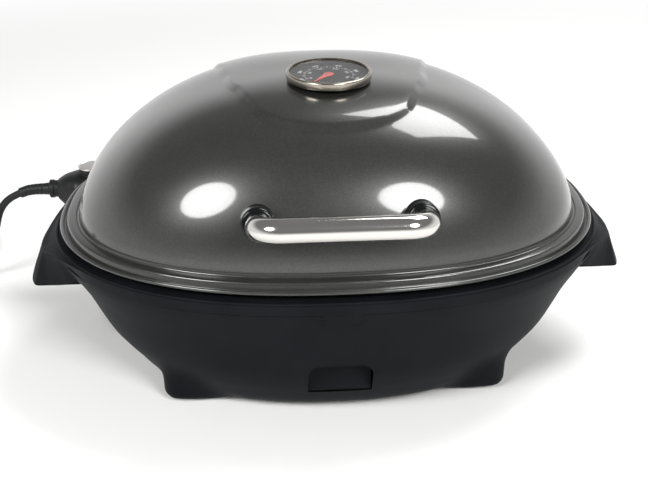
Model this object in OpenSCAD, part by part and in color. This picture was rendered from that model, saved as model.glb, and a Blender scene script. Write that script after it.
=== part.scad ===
// Electric tabletop grill: an oval plastic base on four feet, a cast cooking plate over a bent
// heating element, a domed steel lid hinged at the back, a drip drawer and a plug-in heat control.
// Front faces -Y, up is +Z, the floor is z = 0 and the oval's centre is over the origin.

/* [Lid] */
// Half width of the lid at its rolled hem
hem_a = 240; // [220:1:260]
// Half depth of the lid at its rolled hem
hem_b = 182.5; // [170:0.5:200]
// Width of the flat brim between dome and hem
brim_w = 17.5; // [15:0.5:22]
// Height at which the dome's wall meets the brim
dome_z = 140; // [134:1:150]
// Rise of the dome above the brim
dome_rise = 115; // [90:0.5:130]
// Step of the raised crown panel
panel_step = 3; // [1:0.5:5]
// Thickness of the lid's steel sheet
sheet = 1.4; // [0.8:0.1:2]
// How far the lid opens, in degrees
lid_open = 95; // [60:1:100]

/* [Handle] */
// Radius of the handle's tube
tube_r = 9.6; // [7:0.1:12]
// Half length of the handle over its bends
handle_half = 73; // [60:1:90]
// How far in front of the centre the handle's tube runs
handle_y = 200; // [195:1:215]
// Height of the handle's tube
handle_z = 193.5; // [180:0.5:210]

/* [Thermometer] */
// Outer radius of the thermometer's ring
bezel_r = 36; // [28:0.5:42]
// Height of the ring
bezel_h = 7; // [6:0.5:10]
// Distance of the thermometer in front of the centre
dial_y = 37.6; // [30:0.2:50]
// Forward tilt of the thermometer, in degrees
dial_tilt = 2.2; // [0:0.1:6]

/* [Base] */
// Height of the parting line between bowl and frame
part_z = 114; // [105:1:120]
// Height of the frame's outer rim
rim_z = 124; // [120:0.5:126]
// Wall of the moulded bowl
wall = 3; // [2:0.5:4]
// Height of the bowl's underside over the floor
under_z = 6; // [4:0.5:12]
// Distance of each foot from the centre line, sideways
foot_x = 115; // [90:1:130]
// Distance of each foot from the centre line, front to back
foot_y = 102; // [90:1:110]
// Half width over the side handles
wing_x = 266; // [256:1:280]

/* [Drawer] */
// Inner half width of the drawer's mouth in the bowl
mouth_half = 26.5; // [22:0.5:32]
// Underside of the drawer's mouth
mouth_z = 27; // [24:0.5:30]
// Height of the drawer's mouth
mouth_h = 33; // [28:0.5:36]
// Gap round the drawer
drawer_gap = 0.4; // [0.3:0.05:0.8]

/* [Heat] */
// Height of the element, its pins and the heat control
heat_z = 101; // [100:0.5:102]
// Radius of the bent heating element
elem_r = 3.7; // [3:0.1:4]
// Distance of the control's line behind the centre
ctrl_y = 115; // [112:1:118]
// Distance between the two contact pins
pin_gap = 24; // [20:1:26]
// Radius of a contact pin
pin_r = 2.4; // [2:0.1:3]
// Length of the heat control's body
ctrl_len = 53; // [48:1:60]
// Radius of the knob on the control
knob_r = 13.2; // [11:0.2:16]

/* [Hinge] */
// Radius of the hinge pin
hinge_r = 3; // [2.5:0.1:4]
// Running clearance round the hinge pin and the other turning shafts
run_gap = 0.05; // [0.02:0.01:0.09]

/* [Cord] */
// Radius of the cord
cord_r = 3.75; // [3.2:0.05:4.5]
// Outer radius of the coil, to the cord's middle
coil_r = 46; // [42:1:52]
// Turns in the coil
coil_turns = 6; // [4:2:8]

/* [Hidden] */
$fn = 64;
steps = 80;
// Powers of the ovals: plan of hem and base, plan of the dome, and the dome's profile
// sideways, front to back and in height
oval_n = 2.3;
dome_n = 2.4;
dome_mx = 2.5;
dome_my = 3.5;
dome_s = 1.535;
dome_a = hem_a - brim_w - 0.5;
dome_b = hem_b - brim_w + 0.5;
seat_gap = 0.3;
hem_z = 129.2;
brim_z = 135.7;
seat_z = brim_z - seat_gap;
sill_t = 3;
sill_z = part_z + sill_t;
plate_z = heat_z + elem_r;
ear_r = 8;
hinge_y = handle_y + tube_r - ear_r;
hinge_z = 136;
knuckle_r = 5.5;
ear_x = 27;
ear_t = 5;
ctrl_x = 27 - hem_a;
ctrl_end = ctrl_x - ctrl_len;
neck_z = heat_z + 3.5;
pad_r = 13;
knob_x = ctrl_x - 18;
screw_r = 1.5;
rivet_r = 2.4;
drain_y = -60;
tray_front = -153;
tray_back = 10;
tray_z = mouth_z;
pan_floor_z = mouth_z + mouth_h;
gasket_t = 0.7;
plug_x = ctrl_end - 296;
coil_pitch = 2 * cord_r + 0.6;
coil_x = ctrl_end - 158;
cord_y = ctrl_y + 3;
coil_y = cord_y + coil_r;
layers = 4;
turns_each = coil_turns / layers;

// Curves and skins
function spow(v, e) = sign(v) * pow(abs(v), e);
function oval(a, b, n, t) = [a * spow(cos(t), 2 / n), b * spow(sin(t), 2 / n)];
function at_z(p, z) = [p[0], p[1], z];
function unit(v) = v / norm(v);
// Point on the hem's oval, moved out by o, at the angle t
function rim_at(o, t) = oval(hem_a + o, hem_b + o, oval_n, t);
function rim_line(o) = [for (i = [0:steps - 1]) rim_at(o, 360 * i / steps)];
// Compass angle of the outward normal of that oval
function rim_turn(o, t) = let (d = rim_at(o, t + 1) - rim_at(o, t - 1)) atan2(-d[0], d[1]);

module slab(o, z0, z1) {
  translate([0, 0, z0]) linear_extrude(z1 - z0) polygon(rim_line(o));
}

// Skin over rings that run out from a top point, round an edge and back to an inner point
module capped(first, rings, last) {
  n = len(rings[0]);
  m = len(rings);
  pts = concat([first], [for (r = rings) each r], [last]);
  polyhedron(pts, concat(
    [for (i = [0:n - 1]) [0, 1 + (i + 1) % n, 1 + i]],
    [for (j = [0:m - 2]) for (i = [0:n - 1])
      let (a = 1 + j * n + i, b = 1 + j * n + (i + 1) % n) each [[a, b, b + n], [a, b + n, a + n]]],
    [for (i = [0:n - 1]) [1 + (m - 1) * n + i, 1 + (m - 1) * n + (i + 1) % n, 1 + m * n]]));
}

// Skin round a closed loop: each ring is the same round path, the first follows the last
module looped(rings) {
  n = len(rings[0]);
  m = len(rings);
  polyhedron([for (r = rings) each r], [for (j = [0:m - 1]) for (i = [0:n - 1])
    let (a = j * n + i, b = j * n + (i + 1) % n, c = ((j + 1) % m) * n + i,
      d = ((j + 1) % m) * n + (i + 1) % n) each [[a, b, d], [a, d, c]]]);
}

// Solid through cross sections whose points run anticlockwise seen from the far end
module lofted(rings) {
  n = len(rings[0]);
  m = len(rings);
  polyhedron([for (r = rings) each r], concat(
    [for (i = [1:n - 2]) [0, i, i + 1]],
    [for (j = [0:m - 2]) for (i = [0:n - 1])
      let (a = j * n + i, b = j * n + (i + 1) % n) each [[a, a + n, b + n], [a, b + n, b]]],
    [for (i = [1:n - 2]) [(m - 1) * n, (m - 1) * n + i + 1, (m - 1) * n + i]]));
}

// Round tube along points; the end directions are given so that neighbours meet flat
module corded(path, radii, sides, side_way, dir0, dir1) {
  m = len(path);
  dirs = [for (i = [0:m - 1]) i == 0 ? dir0 : i == m - 1 ? dir1 : unit(path[i + 1] - path[i - 1])];
  lofted([for (i = [0:m - 1])
    let (u = unit(cross(side_way, dirs[i])), v = cross(dirs[i], u), r = is_list(radii) ? radii[i] : radii)
    [for (k = [0:sides - 1]) path[i] + r * (cos(360 * k / sides) * u + sin(360 * k / sides) * v)]]);
}

// Joins faceted forms into one skin before they are drilled
module one_skin() {
  resize([0, 0, 0]) union() children();
}

// The base
bowl_out = [[under_z, -69, -42], [under_z + 1.2, -65, -38], [under_z + 4, -61.5, -34.2], [15, -56, -30],
  [25, -49, -24], [35, -41, -18.5], [48, -31.5, -13], [60, -25.5, -9.5], [83, -14.5, -4],
  [100, -4, 0.3], [110, 2, 2.8], [part_z, 3.5, 3.5]];
bowl_in = [[under_z + 3, -71, -43], [under_z + 6, -62, -35.5], [25, -52, -27], [48, -34.5, -16],
  [83, -17.5, -7], [100, -7, -2.7], [part_z, 3.5 - wall, 3.5 - wall]];
function bowl_ring(s) = [for (i = [0:steps - 1])
  at_z(oval(hem_a + s[1], hem_b + s[2], oval_n, 360 * i / steps), s[0])];

module bowl_form(side, top) {
  // rings run from the top down to the floor's middle, so the list is turned over
  rev = [for (k = [len(side) - 1:-1:0]) bowl_ring(side[k])];
  capped([0, 0, top], [for (r = rev) r], [0, 0, side[0][0]]);
}

// One foot: a rounded column that grows out of the bowl
module foot_form() {
  hull() {
    for (x = [-1, 1], y = [-1, 1]) {
      translate([x * 18, y * 12, 1.5]) cylinder(r = 8, h = 1, $fn = 24);
      translate([x * 18, y * 12, 10]) cylinder(r = 16, h = 1, $fn = 24);
      translate([x * 20, y * 9, 56]) cylinder(r = 15.5, h = 1, $fn = 24);
    }
  }
}

// A post that a screw goes into, with a web to the bowl's wall; it is cut off at the wall
module wall_post(o, t, z0, z1) {
  p = rim_at(o, t);
  translate([p[0], p[1], z0]) {
    cylinder(r = 4.5, h = z1 - z0, $fn = 12);
    rotate([0, 0, rim_turn(o, t)]) translate([0, -2, 0]) cube([16, 4, z1 - z0]);
  }
}

rim_screw_t = [-140, -112, -68, -40, 62, 118];
pan_screw_t = [-150, -30, 40, 128];
pan_flange_z = 91.2;

module mouth_shape(g) {
  // arch with two rounded upper corners, as wide as the mouth less the gap g
  w = mouth_half - g;
  h = mouth_h - g;
  r = 12;
  polygon(concat([[-w, g], [w, g]],
    [for (a = [0:15:90]) [w - r + r * cos(a), h - r + r * sin(a)]],
    [for (a = [90:15:180]) [-w + r + r * cos(a), h - r + r * sin(a)]]));
}

module base_shell() {
  color("#1d1f21") difference() {
    one_skin() {
      difference() {
        union() {
          bowl_form(bowl_out, part_z);
          for (x = [-1, 1], y = [-1, 1])
            translate([x * foot_x, y * foot_y, 0]) foot_form();
        }
        bowl_form([for (s = bowl_in) s[0] == part_z ? [part_z + 0.01, s[1], s[2]] : s], part_z + 0.01);
      }
      intersection() {
        bowl_form(bowl_out, part_z);
        union() {
          for (t = rim_screw_t) wall_post(-13, t, 101, part_z);
          for (t = pan_screw_t) wall_post(-22, t, 79, pan_flange_z - 0.8);
        }
      }
    }
    for (x = [-1, 1], y = [-1, 1])
      translate([x * foot_x, y * foot_y, -1]) cylinder(r = pad_r, h = 5);
    for (t = rim_screw_t)
      translate(at_z(rim_at(-13, t), 100)) cylinder(r = screw_r, h = 20);
    for (t = pan_screw_t)
      translate(at_z(rim_at(-22, t), 82)) cylinder(r = screw_r, h = 20);
    translate([0, -140, mouth_z]) rotate([90, 0, 0]) linear_extrude(40) mouth_shape(0);
    translate([ctrl_x - 27, ctrl_y - 24, heat_z - 12.8]) cube([90, 48, 31]);
    translate([-15, -hem_b - 10, part_z - 9]) cube([30, 9.2, 20]);
    for (x = [-22, 22], y = [-120, -10])
      translate([x, y, under_z - 1]) cylinder(r = screw_r, h = 6);
  }
}

// Side handle by angle, front negative: for its top edge and then for its low edge, the reach
// sideways as a share of wing_out, the way along the edge (millimetres at the top, degrees below)
// and the height
wing_out = wing_x - hem_a - 5;
edge_z = rim_z - 0.6;
wing_cut = [[-40.5, 0, 0, edge_z, 0, 0, part_z + 0.3], [-36, 0, 0, edge_z, 0, 1, part_z - 1],
  [-31.5, 0.05, -0.8, edge_z, 0, 4, 104], [-27, 0.14, -1.6, edge_z, 0.02, 8, 88.9],
  [-22.5, 0.32, -1.7, 121.8, 0.6, 4, 87], [-18, 0.5, -1.5, 118.8, 1.38, 0.7, 85],
  [-13.5, 0.605, -0.6, 115.3, 2.01, -2.3, 83.6], [-9, 0.6, 1.4, 113.3, 2.06, -3.1, 83.4],
  [-4.5, 0.53, 2.5, 113.6, 1.83, -3.4, 87], [0, 0.33, 0, 116.5, 1.28, -2, 95],
  [4.5, 0.15, 0, 120, 0.7, -1.6, 103], [9, 0.05, 0, 122.4, 0.27, -1, 109.5],
  [13.5, 0, 0, edge_z, 0.04, 0, part_z - 0.8], [18, 0, 0, edge_z, 0, 0, part_z + 0.3]];
function wing(u, c) = lookup(u, [for (w = wing_cut) [w[0], w[c]]]);
// Angle as on the right side, front negative, for both sides
function right_turn(t) = let (c = cos(t), s = sin(t)) atan2(s, abs(c));
function side_of(t) = cos(t) < 0 ? -1 : 1;
// Point g outside the bowl's outer face at the height z
function by_bowl(z, g, t) =
  at_z(oval(hem_a + g + lookup(z, [for (s = bowl_out) [s[0], s[1]]]),
    hem_b + g + lookup(z, [for (s = bowl_out) [s[0], s[2]]]), oval_n, t), z);

function frame_ring(k) = [for (i = [0:steps - 1])
  let (t = 360 * i / steps, u = right_turn(t), side = side_of(t), reach = wing_out * wing(u, 1),
    top = at_z(rim_at(5, t), 0) + [side * reach, wing(u, 2), wing(u, 3)],
    a = t + side * wing(u, 5), z = wing(u, 6), zm = z + 0.6 * (part_z - z),
    low = by_bowl(z, 1.5, a) + [side * wing_out * wing(u, 4), 0, 0])
  k == 0 ? at_z(rim_at(-29, t), part_z) :
  k == 1 ? at_z(rim_at(-29, t), sill_z) :
  k == 2 ? at_z(rim_at(-16.5, t), sill_z) :
  k == 3 ? at_z(rim_at(-15.5, t), seat_z - 0.6) :
  k == 4 ? at_z(rim_at(-14.6, t), seat_z) :
  k == 5 ? at_z(rim_at(-10.5, t), seat_z) :
  k == 6 ? at_z(rim_at(-9.6, t), rim_z + 0.8) :
  k == 7 ? at_z(rim_at(3.2, t), rim_z) :
  k == 8 ? (at_z(rim_at(3.2, t), rim_z) + top) / 2 + [0, 0, 0.1 - 0.11 * reach] :
  k == 9 ? top :
  k == 10 ? top + 0.05 * (low - top) + [side * 0.05 * reach, 0, -1] :
  k == 11 ? low :
  k == 12 ? by_bowl(z, 0.5, a) :
  k == 13 ? by_bowl(zm, 0.9, 0.4 * a + 0.6 * t) :
  at_z(rim_at(4.2, t), part_z)];

module rim_frame() {
  color("#212427") difference() {
    union() {
      looped([for (k = [0:14]) frame_ring(k)]);
      translate([-14.7, 0, 0]) rotate([90, 0, 90]) linear_extrude(29.4)
        polygon([[-hem_b - 1.4, part_z - 8.7], [-hem_b - 3.4, part_z], [-hem_b - 3.4, part_z + 2],
          [-hem_b - 0.8, part_z + 2], [-hem_b - 0.8, part_z - 8.7]]);
    }
    for (t = rim_screw_t)
      translate(at_z(rim_at(-13, t), part_z - 1)) cylinder(r = screw_r, h = 11);
    translate([ctrl_x - 42, ctrl_y - 24, part_z - 14]) cube([43, 48, 40]);
    translate([-36, hem_b + 4.3, part_z - 1]) cube([72, 10, 20]);
    for (x = [-20, 20])
      translate([x, hem_b - 3, 119]) rotate([-90, 0, 0]) cylinder(r = screw_r, h = 12);
  }
}

module foot_pads() {
  color("#2b2b2b") for (x = [-1, 1], y = [-1, 1])
    translate([x * foot_x, y * foot_y, 0]) cylinder(r = pad_r, h = 4);
}

// Pan-head screw: its shank stands up from a head that lies under z = 0
module screw(r, len, head = 3.1, head_h = 2) {
  cylinder(r = r, h = len);
  translate([0, 0, -head_h]) cylinder(r = head, h = head_h);
}

module rim_screws() {
  color("#9a9c9f") for (t = rim_screw_t)
    translate(at_z(rim_at(-13, t), 101)) screw(screw_r, 22);
}

pan_o = -44;
module drip_pan() {
  color("#b9bbbd") difference() {
    union() {
      slab(pan_o, pan_floor_z, pan_flange_z);
      slab(-18, pan_flange_z - 0.8, pan_flange_z);
    }
    slab(pan_o - 0.8, pan_floor_z + 0.8, pan_flange_z + 1);
    translate([0, drain_y, pan_floor_z - 10]) cylinder(r = 6, h = 20);
    translate([ctrl_x, ctrl_y - 24.5, pan_flange_z - 2]) cube([36, 49, 4]);
    for (t = pan_screw_t)
      translate(at_z(rim_at(-22, t), 80)) cylinder(r = screw_r, h = 20);
  }
}

module pan_screws() {
  color("#9a9c9f") for (t = pan_screw_t)
    translate(at_z(rim_at(-22, t), pan_flange_z)) rotate([180, 0, 0]) screw(screw_r, 9);
}

module grill_plate() {
  color("#26282a") difference() {
    union() {
      slab(-30.5, plate_z, sill_z + 1);
      slab(-18, sill_z, sill_z + 2.5);
      slab(-20, sill_z, 124.5);
    }
    difference() {
      slab(-33.5, plate_z + 4.3, sill_z + 2);
      intersection() {
        slab(-33.5, plate_z + 4.3, plate_z + 9.5);
        for (x = [-192:24:192])
          translate([x - 2, -160, plate_z]) cube([4, 320, 9.5]);
      }
    }
    slab(-23, sill_z + 2, 130);
    translate([12, drain_y, plate_z - 1]) cylinder(r = 5, h = 12);
  }
}

module bend(x, y, a, r, turn) {
  // quarter bend about a point, starting at the angle a
  translate([x, y, 0]) rotate([0, 0, a]) rotate_extrude(angle = turn)
    translate([r, 0]) circle(r = elem_r, $fn = 48);
}

module rod(x0, y0, x1, y1, r) {
  d = [x1 - x0, y1 - y0];
  translate([x0, y0, 0]) rotate([0, 0, atan2(d[1], d[0])]) rotate([0, 90, 0])
    cylinder(r = r, h = norm(d), $fn = 48);
}

pin_y0 = ctrl_y - pin_gap / 2;
pin_y1 = ctrl_y + pin_gap / 2;
elem_x0 = -178;
elem_bend = 24;
leg_x = hem_a - 121;
low_y = -84;
module heating_element() {
  color("#6f6a63") translate([0, 0, heat_z]) {
    rod(elem_x0, pin_y0, -leg_x - elem_bend, pin_y0, elem_r);
    bend(-leg_x - elem_bend, pin_y0 - elem_bend, 0, elem_bend, 90);
    rod(-leg_x, pin_y0 - elem_bend, -leg_x, low_y + elem_bend, elem_r);
    bend(-leg_x + elem_bend, low_y + elem_bend, 180, elem_bend, 90);
    rod(-leg_x + elem_bend, low_y, leg_x - elem_bend, low_y, elem_r);
    bend(leg_x - elem_bend, low_y + elem_bend, 270, elem_bend, 90);
    rod(leg_x, low_y + elem_bend, leg_x, pin_y1 - elem_bend, elem_r);
    bend(leg_x - elem_bend, pin_y1 - elem_bend, 0, elem_bend, 90);
    rod(leg_x - elem_bend, pin_y1, elem_x0, pin_y1, elem_r);
  }
}

module clip() {
  difference() {
    translate([-5, -7, -elem_r - 1.2]) cube([10, 14, 2 * elem_r + 1.2]);
    translate([-6, 0, 0]) rotate([0, 90, 0]) cylinder(r = elem_r, h = 12);
    translate([-6, -elem_r, 0]) cube([12, 2 * elem_r, 10]);
  }
}

module element_clips() {
  color("#8d8f92") translate([0, 0, heat_z]) {
    translate([-60, low_y, 0]) clip();
    translate([60, low_y, 0]) clip();
    translate([50, pin_y1, 0]) clip();
    translate([-60, pin_y1, 0]) clip();
    translate([leg_x, 20, 0]) rotate([0, 0, 90]) clip();
    translate([-leg_x, 0, 0]) rotate([0, 0, 90]) clip();
  }
}

shroud_x = ctrl_x + 1.5;
module socket_shroud() {
  color("#191a1b") difference() {
    translate([shroud_x, ctrl_y - 23.8, heat_z - 12.6]) cube([elem_x0 - 3 - shroud_x, 47.6, 25.2]);
    translate([shroud_x - 1, ctrl_y - 21, heat_z - 10]) cube([27.5, 42, 20]);
    translate([-200, ctrl_y, heat_z]) rotate([0, 90, 0]) cylinder(r = 3.6, h = 40);
    for (y = [pin_y0, pin_y1])
      translate([-200, y, heat_z]) rotate([0, 90, 0]) cylinder(r = pin_r, h = 40);
  }
}

module contact_pins() {
  color("#c9b27a") for (y = [pin_y0, pin_y1])
    translate([-204, y, heat_z]) rotate([0, 90, 0]) cylinder(r = pin_r, h = elem_x0 + 204);
}

guide_in = mouth_half - drawer_gap;
guide_front = tray_front + 7;
guide_back = tray_back + 14;
module drawer_guide() {
  color("#232527") {
    difference() {
      translate([-guide_in - 2, guide_front, tray_z - 2.4])
        cube([2 * guide_in + 4, guide_back - guide_front, mouth_h]);
      translate([-guide_in, guide_front - 1, tray_z]) cube([2 * guide_in, guide_back - guide_front - 2, 40]);
      for (x = [-22, 22], y = [-120, -10])
        translate([x, y, 0]) cylinder(r = screw_r, h = 60);
    }
    for (y = [-120, -10])
      difference() {
        translate([-guide_in - 2, y - 5, under_z + 3]) cube([2 * guide_in + 4, 10, tray_z - 5.4 - under_z]);
        for (x = [-22, 22])
          translate([x, y, 0]) cylinder(r = screw_r, h = 60);
      }
  }
}

module guide_screws() {
  color("#9a9c9f") for (x = [-22, 22], y = [-120, -10])
    translate([x, y, under_z]) screw(screw_r, tray_z - 1 - under_z, 3.1, 1.6);
}

// The hinge
module along_x(x0, x1) {
  translate([x0, 0, 0]) rotate([90, 0, 90]) linear_extrude(x1 - x0) children();
}

leaf_y = hem_b + 4.3;
module hinge_leaf() {
  color("#2a2c2e") difference() {
    union() {
      translate([-34, leaf_y, part_z + 0.6]) cube([68, 3, 10]);
      for (x = [-1, 1])
        along_x(x * ear_x - ear_t / 2, x * ear_x + ear_t / 2) {
          polygon([[leaf_y + 1, part_z + 0.6], [leaf_y + 6, part_z + 0.6],
            [hinge_y + ear_r - 0.6, hinge_z - 3], [hinge_y, hinge_z + 4],
            [hinge_y - ear_r + 0.5, hinge_z + 1], [leaf_y + 1, part_z + 10.6]]);
          translate([hinge_y, hinge_z]) circle(r = ear_r);
        }
      along_x(-ear_x, ear_x)
        polygon([[hinge_y + 6.4, hinge_z - 2], [hinge_y + 7.6, hinge_z - 2], [hinge_y + 7.4, hinge_z + 2.6],
          [hinge_y + 6.4, hinge_z + 4.4]]);
    }
    translate([-40, hinge_y, hinge_z]) rotate([0, 90, 0]) cylinder(r = hinge_r, h = 80);
    for (x = [-20, 20])
      translate([x, leaf_y - 1, 119]) rotate([-90, 0, 0]) cylinder(r = screw_r, h = 12);
  }
}

module leaf_screws() {
  color("#9a9c9f") for (x = [-20, 20])
    translate([x, leaf_y + 3, 119]) rotate([90, 0, 0]) screw(screw_r, 9, 3, 1.8);
}

module hinge_pin() {
  color("#b4b6b8") {
    translate([-32, hinge_y, hinge_z]) rotate([0, 90, 0]) cylinder(r = hinge_r, h = 64);
    translate([-33.5, hinge_y, hinge_z]) rotate([0, 90, 0]) cylinder(r = hinge_r + 2, h = 3);
    translate([30.5, hinge_y, hinge_z]) rotate([0, 90, 0]) cylinder(r = hinge_r + 2, h = 1.5);
  }
}

// The lid
// Height of the dome over a point of the plan, g inside the outer face
function dome_at(p, g) =
  let (x = pow(abs(p[0]) / (dome_a - g), dome_n), y = pow(abs(p[1]) / (dome_b - g), dome_n),
    r = x + y, m = r > 0 ? (dome_mx * x + dome_my * y) / r : dome_mx)
  dome_z + (dome_rise - g) * pow(max(0, 1 - pow(r, m / dome_n)), 1 / dome_s);
// Distance from the centre to the raised panel's edge, by compass angle on the right side
function panel_edge(u) = lookup(u, [[-90, 104], [-70, 104], [-56, 101], [-47, 92.5], [-40, 87.5],
  [-24, 81.5], [0, 82], [24, 97], [36, 117], [43, 134], [50, 149], [90, 149]]);
panel_slope = 9;

// A dome ring: the plan point at the share f of the way, or at the panel's edge plus a step
function dome_ring(k, inner, outer, g) = [for (i = [0:steps - 1])
  let (t = 360 * i / steps, b = oval(dome_a - g, dome_b - g, dome_n, t), size = norm(b),
    u = right_turn(atan2(b[1], b[0])), e0 = min(panel_edge(u), 0.86 * size) / size,
    e1 = e0 + panel_slope / size,
    w = (k - inner - 1) / (outer + 1), f = k <= inner ? e0 * k / inner : e1 + (1 - e1) * (1 - pow(1 - w, 2)),
    p = b * f)
  at_z(p, dome_at(p, g) + (k <= inner ? panel_step : 0))];

// A brim ring: o of the brim's width out from the dome's foot
function brim_ring(o, z) = [for (i = [0:steps - 1]) let (e = o / brim_w)
  at_z(oval(dome_a + e * (hem_a - dome_a), dome_b + e * (hem_b - dome_b), dome_n + e * (oval_n - dome_n),
    360 * i / steps), z)];

brim_top = [[0, 139.8], [0.7, 137.5], [2.2, 136.9], [3.3, 137.7], [9.2, 137.2], [10.6, 136.2],
  [11.6, 133.2], [12.4, 130.9], [13.9, 130.7], [14.6, 132.2], [16, 132.7], [brim_w, 130.9],
  [16.2, hem_z], [12.2, hem_z]];
brim_under = [[10.9, 129.8], [10.1, 132.8], [9.4, 135.2], [8.4, 135.9], [1.5, brim_z], [-1, 136.6],
  [-sheet - 0.1, 139]];

module lid_form() {
  capped([0, 0, dome_at([0, 0], 0) + panel_step],
    concat([for (k = [1:5]) dome_ring(k, 5, 9, 0)], [for (k = [6:14]) dome_ring(k, 5, 9, 0)],
      [for (s = brim_top) brim_ring(s[0], s[1])], [for (s = brim_under) brim_ring(s[0], s[1])],
      [for (k = [9:-1:1]) dome_ring(k, 3, 6, sheet)]),
    [0, 0, dome_at([0, 0], sheet) + panel_step]);
}

// Where the handle's ends meet the dome, and the dome's normal there
grip_x = handle_half - tube_r;
grip_dip = 15.6;
function grip_at(s) = [grip_x, -handle_y + s * cos(grip_dip), handle_z - s * sin(grip_dip)];
function meet(a, b, n) = let (m = (a + b) / 2, p = grip_at(m))
  n == 0 ? m : p[2] > dome_at([p[0], p[1]], 0) ? meet(m, b, n - 1) : meet(a, m, n - 1);
grip_len = meet(20, 80, 14);
foot_p = grip_at(grip_len);
foot_n = unit([dome_at([foot_p[0] - 1, foot_p[1]], 0) - dome_at([foot_p[0] + 1, foot_p[1]], 0),
  dome_at([foot_p[0], foot_p[1] - 1], 0) - dome_at([foot_p[0], foot_p[1] + 1], 0), 2]);
module on_normal(p, n) {
  translate(p) rotate([0, acos(n[2]), atan2(n[1], n[0])]) children();
}
module on_foot(x) {
  on_normal([x * foot_p[0], foot_p[1], foot_p[2]], [x * foot_n[0], foot_n[1], foot_n[2]]) children();
}

// The lid's back wall, where the hinge bracket lies on it
function back_y(z) = dome_b * pow(1 - pow((z - dome_z) / dome_rise, dome_s), 1 / dome_my);
leaf_mid = dome_z + 11;
leaf_tilt = atan((back_y(leaf_mid - 1) - back_y(leaf_mid + 1)) / 2);
function leaf_line(z) = back_y(leaf_mid) + 0.35 - (z - leaf_mid) * tan(leaf_tilt);
leaf_t = 2;
arm_z = hinge_z + knuckle_r - leaf_t;
rivet_at = [[-14, dome_z + 7], [14, dome_z + 7], [-14, dome_z + 19], [14, dome_z + 19]];
// Places its child on the bracket's inner face, with +Z out of the wall
module on_back(p) {
  translate([p[0], leaf_line(p[1]), p[1]]) rotate([leaf_tilt - 90, 0, 0]) children();
}

dial_top = dome_at([0, -dial_y], 0) + panel_step + gasket_t + bezel_h + 0.3;
echo(dial_top_mm = dial_top);
// Frame of the thermometer: z = 0 is the ring's upper face
module on_dial() {
  translate([0, -dial_y, dial_top]) rotate([dial_tilt, 0, 0]) children();
}

module lid_shell() {
  color("#3b3c3a") difference() {
    lid_form();
    on_dial() translate([0, 0, -45]) cylinder(r = 6, h = 60);
    for (x = [-1, 1]) on_foot(x) translate([0, 0, -12]) cylinder(r = 2.5, h = 24);
    for (p = rivet_at) on_back(p) translate([0, 0, -8]) cylinder(r = rivet_r, h = 16);
  }
}

module lid_bracket() {
  color("#8c8e90") difference() {
    along_x(-22.5, 22.5) {
      translate([hinge_y, hinge_z]) circle(r = knuckle_r);
      polygon([[leaf_line(arm_z), arm_z], [hinge_y, arm_z], [hinge_y, arm_z + leaf_t],
        [leaf_line(arm_z + leaf_t) + leaf_t, arm_z + leaf_t], [leaf_line(dome_z + 25) + leaf_t, dome_z + 25],
        [leaf_line(dome_z + 25), dome_z + 25]]);
    }
    translate([-30, hinge_y, hinge_z]) rotate([0, 90, 0]) cylinder(r = hinge_r + run_gap, h = 60);
    for (p = rivet_at) on_back(p) translate([0, 0, -8]) cylinder(r = rivet_r, h = 16);
  }
}

module bracket_rivets() {
  color("#b4b6b8") for (p = rivet_at) on_back(p) {
    translate([0, 0, -3.6]) cylinder(r = rivet_r, h = 3.6 + leaf_t + 1.4);
    translate([0, 0, leaf_t]) cylinder(r = 4, h = 1.4);
    translate([0, 0, -3.8]) cylinder(r = 4, h = 1.2);
  }
}

bend_r = 18;
stub = grip_len - 10.5;
// Centre line of the handle: a straight tube, two bends and two short stubs, less g in radius
module handle_line(g) {
  r = tube_r - g;
  translate([0, -handle_y, handle_z]) rotate([-grip_dip, 0, 0]) {
    translate([-grip_x + bend_r, 0, 0]) rotate([0, 90, 0]) cylinder(r = r, h = 2 * (grip_x - bend_r));
    for (x = [0, 1]) mirror([x, 0, 0]) {
      translate([grip_x - bend_r, bend_r, 0]) rotate([0, 0, -90]) rotate_extrude(angle = 90)
        translate([bend_r, 0]) circle(r = r);
      translate([grip_x, bend_r, 0]) rotate([-90, 0, 0]) cylinder(r = r, h = stub - bend_r);
    }
  }
}

module handle_tube() {
  color("#c9cacb") difference() {
    handle_line(0);
    handle_line(1.3);
  }
}

// Frame at a handle's end: +Z runs along the stub towards the lid, from the tube's end
module on_stub(x) {
  translate([0, -handle_y, handle_z]) rotate([-grip_dip, 0, 0]) translate([x * grip_x, stub, 0])
    rotate([-90, 0, 0]) children();
}

module handle_inserts() {
  color("#9a9c9f") for (x = [-1, 1]) on_stub(x) difference() {
    translate([0, 0, -9]) cylinder(r = tube_r - 1.3, h = 9);
    translate([0, 0, -8]) cylinder(r = 2.5, h = 12);
  }
}

ferrule_r = tube_r + 3.2;
module handle_ferrules() {
  color("#0f1011") for (x = [-1, 1]) difference() {
    on_stub(x) translate([0, 0, -6]) cylinder(r = ferrule_r, h = 26);
    on_stub(x) translate([0, 0, -10]) cylinder(r = tube_r, h = 10);
    on_foot(x) {
      translate([0, 0, -19]) cylinder(r = 30, h = 20);
      translate([0, 0, -5]) cylinder(r = 2.5, h = 24);
    }
  }
}

module handle_screws() {
  color("#b4b6b8") for (x = [-1, 1])
    on_foot(x) {
      translate([0, 0, -3.4]) cylinder(r = 2.5, h = 12);
      translate([0, 0, -6.4]) cylinder(r = 5, h = 3);
    }
}

module dial_gasket() {
  color("#141414") on_dial() translate([0, 0, -bezel_h - gasket_t]) difference() {
    cylinder(r = 30, h = gasket_t);
    translate([0, 0, -1]) cylinder(r = 6, h = 3);
  }
}

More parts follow.
